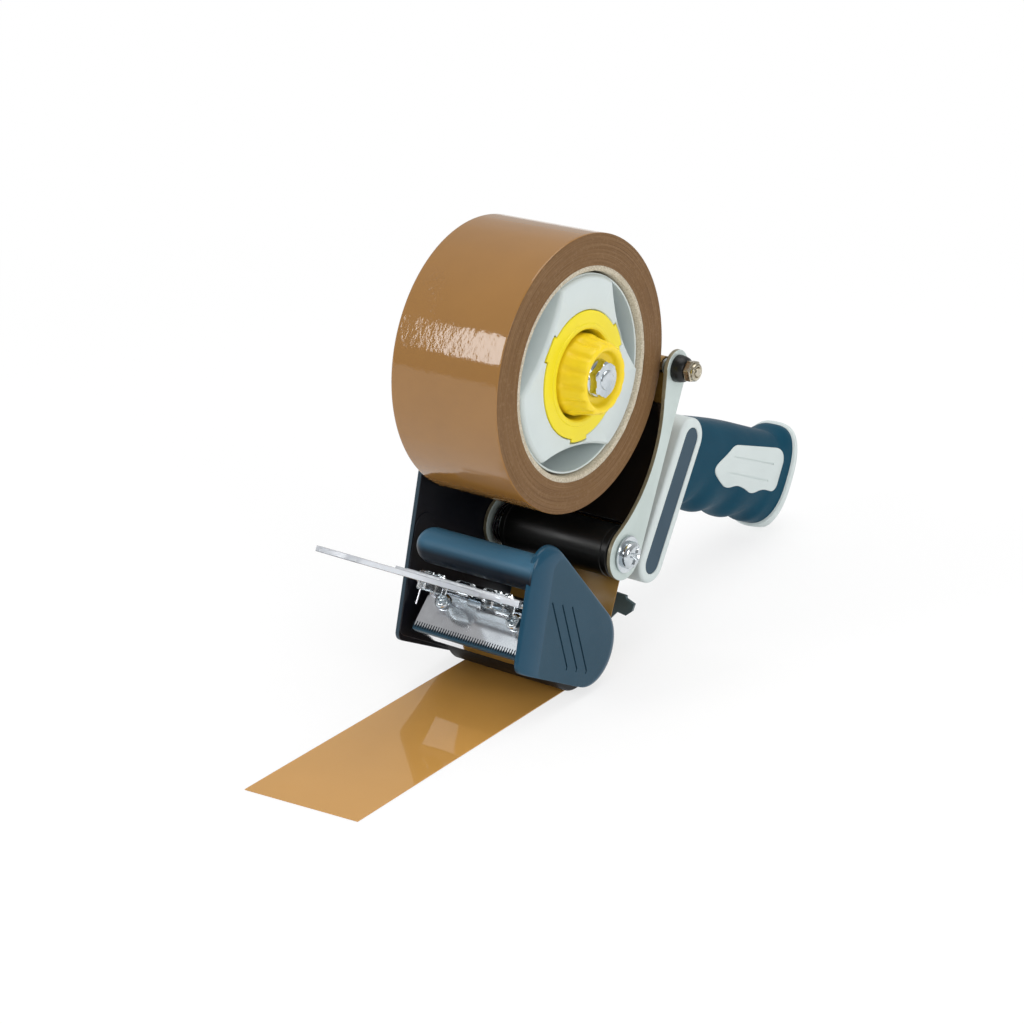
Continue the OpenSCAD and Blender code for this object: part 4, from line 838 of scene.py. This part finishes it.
edgeAt = lambda shrink: (lambda a: lobeRadius(a) - shrink)
pocketAt = lambda grow: (lambda a: tabRadius(a, h["pocket"], h["tab"], h["tabHalf"]) + grow)
c, front = h["chamfer"], h["front"]
hub = Shape().lathe(roll, [
    (edgeAt(0), h["back"]), (edgeAt(0), front - c * 1.5), (edgeAt(c * 0.25), front - c * 0.8),
    (edgeAt(c), front - 0.12), (edgeAt(c + 0.25), front), (pocketAt(0.3), front), (pocketAt(0), front - 0.3),
    (pocketAt(0), h["pocketFloor"]), (h["room"], h["pocketFloor"]), (h["room"], h["floor"]),
    (h["bore"], h["floor"])] + h["flange"], tabAngles(360, h["tabHalf"]), loop=True)
hub.lathe(roll, h["skirt"], 256, loop=True)
hub.build("rollHub", greyPlastic, "grey_plastic", "hub", body="roll", sharp=28)

discStyle = {"radius": 25.0, "tab": 1.4, "tabHalf": 11.0, "rim": [(0, 22.7), (0, 24.8), (0.15, 25.08), (0.5, 25.18)],
             "collar": [(20.2, 25.2), (19.9, 25.62), (19.3, 25.75), (18.5, 25.7), (17.9, 25.3), (17.6, 24.6),
                        (17.6, 12.2), (18.4, 12.0), (18.6, 22.7)]}
d = discStyle
discAt = lambda shrink: (lambda a: tabRadius(a, d["radius"], d["tab"], d["tabHalf"]) - shrink)
Shape().lathe(roll, [(discAt(shrink), y) for shrink, y in d["rim"]] + d["collar"], tabAngles(240, d["tabHalf"]),
              loop=True).build(
    "hubDisc", yellowDisc, "yellow_plastic", "hub_disc", body="roll", sharp=30)
print("roll and hub made")

# brake knob, its nut and the stud
knobStyle = {"flutes": 14, "depth": 0.85, "sides": 336, "levels": [  # radius, Y, share of the flutes' depth
    (4.1, 20.4, 0), (15.2, 20.4, 0), (15.9, 21.0, 0), (16.0, 24.4, 0.15), (15.7, 25.6, 0.8), (15.2, 26.8, 1),
    (14.7, 29.5, 1), (14.3, 32.4, 1), (14.05, 33.8, 0.95), (13.8, 34.6, 0.8), (13.3, 35.2, 0.5), (12.6, 35.5, 0.25),
    (11.9, 35.45, 0.08), (11.2, 35.0, 0), (10.7, 34.2, 0), (10.45, 33.0, 0), (10.2, 32.2, 0), (9.6, 31.7, 0),
    (8.8, 31.5, 0), (4.1, 31.5, 0)]}


def fluted(radius, share):
    return lambda a: radius - knobStyle["depth"] * share * (0.5 + 0.5 * math.cos(a * knobStyle["flutes"])) ** 3.2


Shape().lathe(roll, [(fluted(radius, share), y) for radius, y, share in knobStyle["levels"]], knobStyle["sides"],
              loop=True).build(
    "brakeKnob", yellowKnob, "yellow_plastic", "brake_knob", body="knob", sharp=50)

nutStyle = {"flange": [(4.1, 31.5), (7.2, 31.5), (7.5, 31.8), (7.4, 32.3), (6.9, 32.8), (4.1, 33.0)],
            "half": 6.5, "turn": 0.52, "sides": 96,  # the hexagon, cut by a cone to these radii at its end
            "levels": [(9, 32.6), (9, 35.2), (7.2, 35.6), (6.5, 36.0), (5.9, 36.1), (4.2, 36.12)]}


def hexAt(limit):
    third = math.pi / 3
    return lambda a: min(nutStyle["half"] / math.cos((a + nutStyle["turn"]) % third - third / 2), limit)


nut = Shape().lathe(roll, nutStyle["flange"], 72, loop=True)
nut.lathe(roll, [(hexAt(limit), y) for limit, y in nutStyle["levels"]], nutStyle["sides"])
nut.build("knobNut", brightZinc, "bright_zinc", "knob_nut", body="knob", sharp=26)
stud = [(0, -42.0), (3.6, -42.0), (4.0, -41.4), (4.0, -32.4), (10.0, -32.4), (10.0, -27.8), (6.0, -27.8), (6.0, 9.7),
        (4.0, 9.7), (4.0, 36.0), (3.7, 36.6), (2.6, 37.0), (0, 37.1)]
Shape().lathe(roll, stud, 64).build("rollAxle", brightZinc, "bright_zinc", "roll_axle")
print("knob made")

# tape that has left the roll
webStyle = {"t": 0.3, "lean": 23.5, "lowLean": 24.8, "run": 31.5, "bend": 14, "overSilencer": 3.7, "overGuide": 11.1,
            "underApplicator": 15.7, "upper": (-25, 25), "lower": (-25.75, 24.25), "silencerFrom": 40, "past": 0.6,
            "bendTo": 245, "applicatorArc": (-115, -90)}
w = webStyle


def leaning(degrees):
    # direction down the tape, and the direction square to it that points back
    lean = math.radians(degrees)
    return (math.sin(lean), -math.cos(lean)), (-math.cos(lean), -math.sin(lean))


down, behind = leaning(w["lean"])
start = (silencer[0] + w["overSilencer"] * behind[0], silencer[1] + w["overSilencer"] * behind[1])
reach = (guide[0] - silencer[0]) * down[0] + (guide[1] - silencer[1]) * down[1] + w["past"]
path = arc(silencer, w["overSilencer"], w["silencerFrom"], 180 + w["lean"], 20) + line(start, down, reach, 14)[1:]
Shape().prism(ribbon(path, w["t"]), *w["upper"]).build(
    "webUpper", webFilm, "brown_tape_film", "tape_web_upper", body="arm", sharp=50)
down, behind = leaning(w["lowLean"])
start = (guide[0] + w["overGuide"] * behind[0], guide[1] + w["overGuide"] * behind[1])
path = line(start, down, w["run"], 10)
bend = (path[-1][0] - w["bend"] * behind[0], path[-1][1] - w["bend"] * behind[1])
path = path[:-1] + arc(bend, w["bend"], 180 + w["lowLean"], w["bendTo"], 16)
path += arc(applicator, w["underApplicator"], *w["applicatorArc"], 10)
Shape().prism(ribbon(path, w["t"]), *w["lower"]).build(
    "webLower", webFilm, "brown_tape_film", "tape_web_lower", sharp=50)

stripStyle = {"far": -26.5, "near": 23.5, "start": -2, "end": 134.6, "skew": 5.3, "t": 0.35, "long": 90, "wide": 24,
              "lift": 0.16, "liftOver": 20}
q = stripStyle
long, wide = q["long"], q["wide"]
points, faces = [], []
for side in (0, 1):
    for i in range(long + 1):
        for j in range(wide + 1):
            v = j / wide
            x = q["start"] + (q["end"] - q["skew"] * v - q["start"]) * i / long
            y = q["far"] + (q["near"] - q["far"]) * v
            wavy = 0.5 + 0.5 * noise.noise(Vector((x * 0.03, y * 0.05, 3)))
            points.append((x, y, q["lift"] * wavy * ease(0, q["liftOver"], x) + q["t"] * side))
at = lambda i, j, side: (side * (long + 1) + i) * (wide + 1) + j
for i in range(long):
    for j in range(wide):
        faces += [[at(i, j, 1), at(i + 1, j, 1), at(i + 1, j + 1, 1), at(i, j + 1, 1)],
                  [at(i, j, 0), at(i, j + 1, 0), at(i + 1, j + 1, 0), at(i + 1, j, 0)]]
faces += [[at(i, j, 0), at(i + 1, j, 0), at(i + 1, j, 1), at(i, j, 1)] for i in range(long) for j in (0, wide)]
faces += [[at(i, j, 0), at(i, j + 1, 0), at(i, j + 1, 1), at(i, j, 1)] for j in range(wide) for i in (0, long)]
Shape().add(points, faces).build("tapeStrip", tapeFilm, "brown_tape_film", "tape_strip")
print("tape made")

# clear guard
guardStyle = {"baseX": (-2.0, 14.6), "sides": (-31.2, 29.2), "lip": (12.6, 14.6, -1.4), "top": 0.34, "t": 1.0,
              "ribs": (4.2, 9.6), "hinge": [(1.6, -3.5), (2.8, -3.5), (2.8, 3.5), (1.6, 3.5)], "hingeSide": 6.7,
              "tongueStart": 3.1, "tongue": 96.0, "tongueHalf": 10.5, "tongueT": 2.2, "tongueCorner": 5.25,
              "low": -1.86, "stud": 6.0, "studHeight": 3.0, "studX": 7.6, "studY": 16.5,
              "pad": (2.2, 4, 0.5, 1.7), "bars": (1.6, 0.7, 1.6, 2.5), "barPlace": 2.6}  # half sizes, and low and high
g = guardStyle
base = Shape()
(x1, x2), (y1, y2), top = g["baseX"], g["sides"], g["top"] + g["t"]
base.box((x1, y1, g["top"]), (x2 - 0.4, y2, top), place=onGuard)
# the front lip, a bright edge right across, and thin ribs along the top
lipBack, lipFront, lipLow = g["lip"]
lip = [(lipBack, lipLow + 0.4), (lipBack + 0.4, lipLow), (lipFront, lipLow), (lipFront, top), (lipBack, top + 0.02)]
base.rings([[onGuard((x, y, z)) for x, z in lip] for y in (y1 - 0.05, y2 + 0.05)], slot=1, capSlot=0)
for x in g["ribs"]:
    base.box((x, y1 + 2, top - 0.1), (x + 0.5, y2 - 2, top + 0.25), place=onGuard, slot=1)
for side in (-1, 1):
    base.lathe(pivot, [(radius, side * g["hingeSide"] + y) for radius, y in g["hinge"]], 40, loop=True)
    x, y = g["studX"], side * g["studY"]
    for (dx, dy, low, high), places in ((g["pad"], (0,)), (g["bars"], (-g["barPlace"], g["barPlace"]))):
        for d in places:
            base.box((x - dx, y + d - dy, g["top"] + low), (x + dx, y + d + dy, g["top"] + high), place=onGuard)
base.build("guardBase", [clearPlastic, clearEdge], "clear_plastic", "guard_base", body="guard", bevel=0.2)
r = g["tongueCorner"]
(x1, x2), y = (g["tongueStart"] + r, g["tongue"] - r), g["tongueHalf"] - r
outline = wrap([(x1, -y, r), (x2, -y, r), (x2, y, r), (x1, y, r)], 10)
tongue = Shape().rings([[onGuard((x, y, z)) for x, y in outline] for z in (g["low"], g["low"] + g["tongueT"])],
                       slot=1, capSlot=0)
tongue.build("guardTongue", [clearPlastic, clearEdge], "clear_plastic", "guard_tongue", body="guard", bevel=0.35,
             segments=3)
studs = Shape()
levels = [(g["stud"] - 0.5, g["low"] - g["studHeight"]), (g["stud"], g["low"] - g["studHeight"] + 0.5),
          (g["stud"], g["top"] - 0.4), (g["stud"] - 0.3, g["top"])]
for side in (-1, 1):
    x, y = g["studX"], side * g["studY"]
    studs.rings([[onGuard((x + r * math.cos(a), y + r * math.sin(a), z)) for a in evenAngles(56)] for r, z in levels])
studs.build("guardStuds", clearPlastic, "clear_plastic", "guard_studs", body="guard")
print("guard made")

# handle
headStyle = {"radius": 8.85, "back": -32.4, "front": 31.0, "edge": 1.6, "panel": 4.85, "panelBack": 29.7,
             "panelFront": 30.7}
h = headStyle


def headShape(levels):
    return Shape().rings([[(x, y, z) for x, z in wrap([(*headLow, radius), (*headHigh, radius)], 32)]
                          for radius, y in levels])


levels = [(h["radius"] - 0.8, h["back"]), (h["radius"], h["back"] + 0.8)]
levels += [(h["radius"] - h["edge"] * (1 - math.cos(i / 8 * quarterTurn)),
            h["front"] - h["edge"] * (1 - math.sin(i / 8 * quarterTurn))) for i in range(9)]
levels += [(5.3, h["front"]), (4.95, h["front"] - 0.3), (4.9, h["panelBack"] - 0.3)]
headShape(levels).build("handleHead", greyPlastic, "grey_plastic", "handle_head", sharp=40)
levels = [(h["panel"], h["panelBack"]), (h["panel"], h["panelFront"] - 0.25), (h["panel"] - 0.25, h["panelFront"])]
headShape(levels).build("headPanel", panelPlastic, "blue_plastic", "head_panel", sharp=40)

gripStyle = {"length": 114.0, "up": 21.4, "down": 20.8, "width": 27.2, "pitch": 25.5, "depth": 2.6, "fingers": 55.8,
             "flare": 4.0, "drop": 3.4, "tilt": 0.12, "start": 7.0, "rings": 190, "sides": 120, "topPower": 0.71,
             "lowPower": 0.87, "ridge": 0.45, "slant": 0.35,  # and shares of the length where each form starts and ends
             "tiltSpan": (0.78, 1), "flareSpan": (0.9, 0.99), "dropSpan": (0.66, 0.09), "fadeIn": (0.3, 0.4),
             "fadeOut": (0.96, 0.88)}
g = gripStyle


def gripRing(t, grow):
    # one ring of the grip's surface at distance t along it
    over = {span: ease(g[span][0] * g["length"], g[span][1] * g["length"], t)
            for span in ("tiltSpan", "flareSpan", "dropSpan", "fadeIn", "fadeOut")}
    tilt, fade = g["tilt"] * over["tiltSpan"], over["fadeIn"] * over["fadeOut"]
    upHeight = g["up"] + g["flare"] * over["flareSpan"] - g["drop"] * over["dropSpan"]
    finger = g["depth"] * fade * (0.5 - 0.5 * math.cos(fullTurn * (t - g["fingers"]) / g["pitch"]))
    ring = []
    for a in evenAngles(g["sides"]):
        c, s = math.cos(a), math.sin(a)
        under = max(0, -s) ** 1.2
        # shallow slanting ridges run from the finger grooves up into the flat side
        phase = (t - g["fingers"] - g["slant"] * g["down"] * (1 - under)) / g["pitch"]
        crease = g["ridge"] * fade * (0.5 - 0.5 * math.cos(fullTurn * phase)) ** 3 * max(0, -s) ** 0.5
        high = (upHeight if s > 0 else g["down"] - finger * under) + grow
        power = g["topPower"] if s > 0 else g["lowPower"]
        x = math.copysign(high * abs(s) ** power, s)
        y = math.copysign((g["width"] / 2 - finger * under * 0.7 - crease + grow) * abs(c) ** power, c)
        ring.append((x, y, t + tilt * x))
    return ring


rings = [gripRing(g["start"] + (g["length"] - g["start"]) * i / g["rings"], 0) for i in range(g["rings"] + 1)]
Shape().rings(rings, place=onGrip).build("handleGrip", gripRubber, "grip_rubber", "handle_grip", sharp=50)
capStyle = {"grow": 1.4, "length": 13.0, "gap": 0.15, "rings": 26, "lowShare": 0.96, "edge": 0.03, "edgeEnd": 0.04,
            "near": (-0.1, -0.05, 0, 0.05, 0.1),  # the curve is evened out over these places
            "curve": [(0, 1), (0.2, 1), (0.4, 0.9), (0.6, 0.77), (0.8, 0.62), (1, 0.4)]}
c = capStyle


def capShare(along):
    along = min(1, max(0, along))
    for (a1, k1), (a2, k2) in zip(c["curve"], c["curve"][1:]):
        if along <= a2:
            return k1 + (k2 - k1) * (along - a1) / (a2 - a1)
    return c["curve"][-1][1]


low = c["lowShare"] * (g["down"] + c["grow"])
last = gripRing(g["length"], c["grow"])
rings = []
for k in range(c["rings"] + 1):
    along = k / c["rings"]
    share = sum(capShare(along + d) for d in c["near"]) / len(c["near"])
    edge = 1 - c["edge"] * max(0, 1 - along / c["edgeEnd"])
    rings.append([((x + low) * share * edge - low * edge, y * share * edge, t + c["gap"] + c["length"] * along)
                  for x, y, t in last])
Shape().rings(rings, place=onGrip).build("handleCap", greyPlastic, "grey_plastic", "handle_cap", sharp=60)

plaqueStyle = {"rise": 0.45, "sink": 1.0, "lineSteps": 12, "lines": [((63, 7.1), (99, 7.7)), ((62, -0.1), (97, -0.1))],
               "shares": (0.985, 0.8, 0.6, 0.4, 0.2, 0.02),
               "groove": ((-0.35, -0.3), (0.35, -0.3), (0.35, 1), (-0.35, 1)),
               "outline": [(0.556, 0.57), (0.922, 0.715), (0.954, 0.6), (0.927, -0.21), (0.825, -0.196),
                           (0.752, -0.355), (0.696, -0.266), (0.622, -0.224), (0.552, -0.346), (0.487, -0.22),
                           (0.433, -0.065), (0.435, 0.08), (0.509, 0.37)]}
q = plaqueStyle


def gripSide(x):
    # half width of the grip at height x
    high, power = (g["up"], g["topPower"]) if x > 0 else (g["down"], g["lowPower"])
    s = min(0.97, (abs(x) / high) ** (1 / power))
    return g["width"] / 2 * (1 - s * s) ** (power / 2)


outline = rounded([(x * g["up"], t * g["length"]) for t, x in q["outline"]], 3)
middle = (sum(x for x, t in outline) / len(outline), sum(t for x, t in outline) / len(outline))
plaque = Shape()
for side in (-1, 1):
    rings = []
    for share, rise in [(1, -q["sink"]), (1, q["rise"] * 0.4)] + [(share, q["rise"]) for share in q["shares"]]:
        ring = [(middle[0] + (x - middle[0]) * share, middle[1] + (t - middle[1]) * share) for x, t in outline]
        rings.append([(x, side * (gripSide(x) + rise), t) for x, t in ring])
    plaque.rings(rings, place=onGrip)
plaques = plaque.build("gripPlaques", greyPlastic, "grey_plastic", "grip_plaques", sharp=40)
cutter = Shape()
for (t1, x1), (t2, x2) in q["lines"]:
    for side in (-1, 1):
        rings = []
        for i in range(q["lineSteps"] + 1):
            x, t = x1 + (x2 - x1) * i / q["lineSteps"], t1 + (t2 - t1) * i / q["lineSteps"]
            rings.append([(x + d, side * (gripSide(x) + q["rise"] + out), t) for d, out in q["groove"]])
        cutter.rings(rings, place=onGrip)
carve(plaques, cutter)
print("handle made")

# nodes that keep their modelled shape
carried = {"applicator_axle": brightZinc, "guide_axle": brightZinc, "axle_nut": brightZinc,
           "friction_washer": fibre, "pressure_washer": brightZinc, "guard_pin": brightZinc,
           "head_screws": brightZinc, "handle_bolt": brightZinc, "handle_core": greyPlastic}
for name, material in carried.items():
    mesh = nodes[name].data
    mesh.materials.clear()
    mesh.materials.append(material)
print("carried nodes finished")
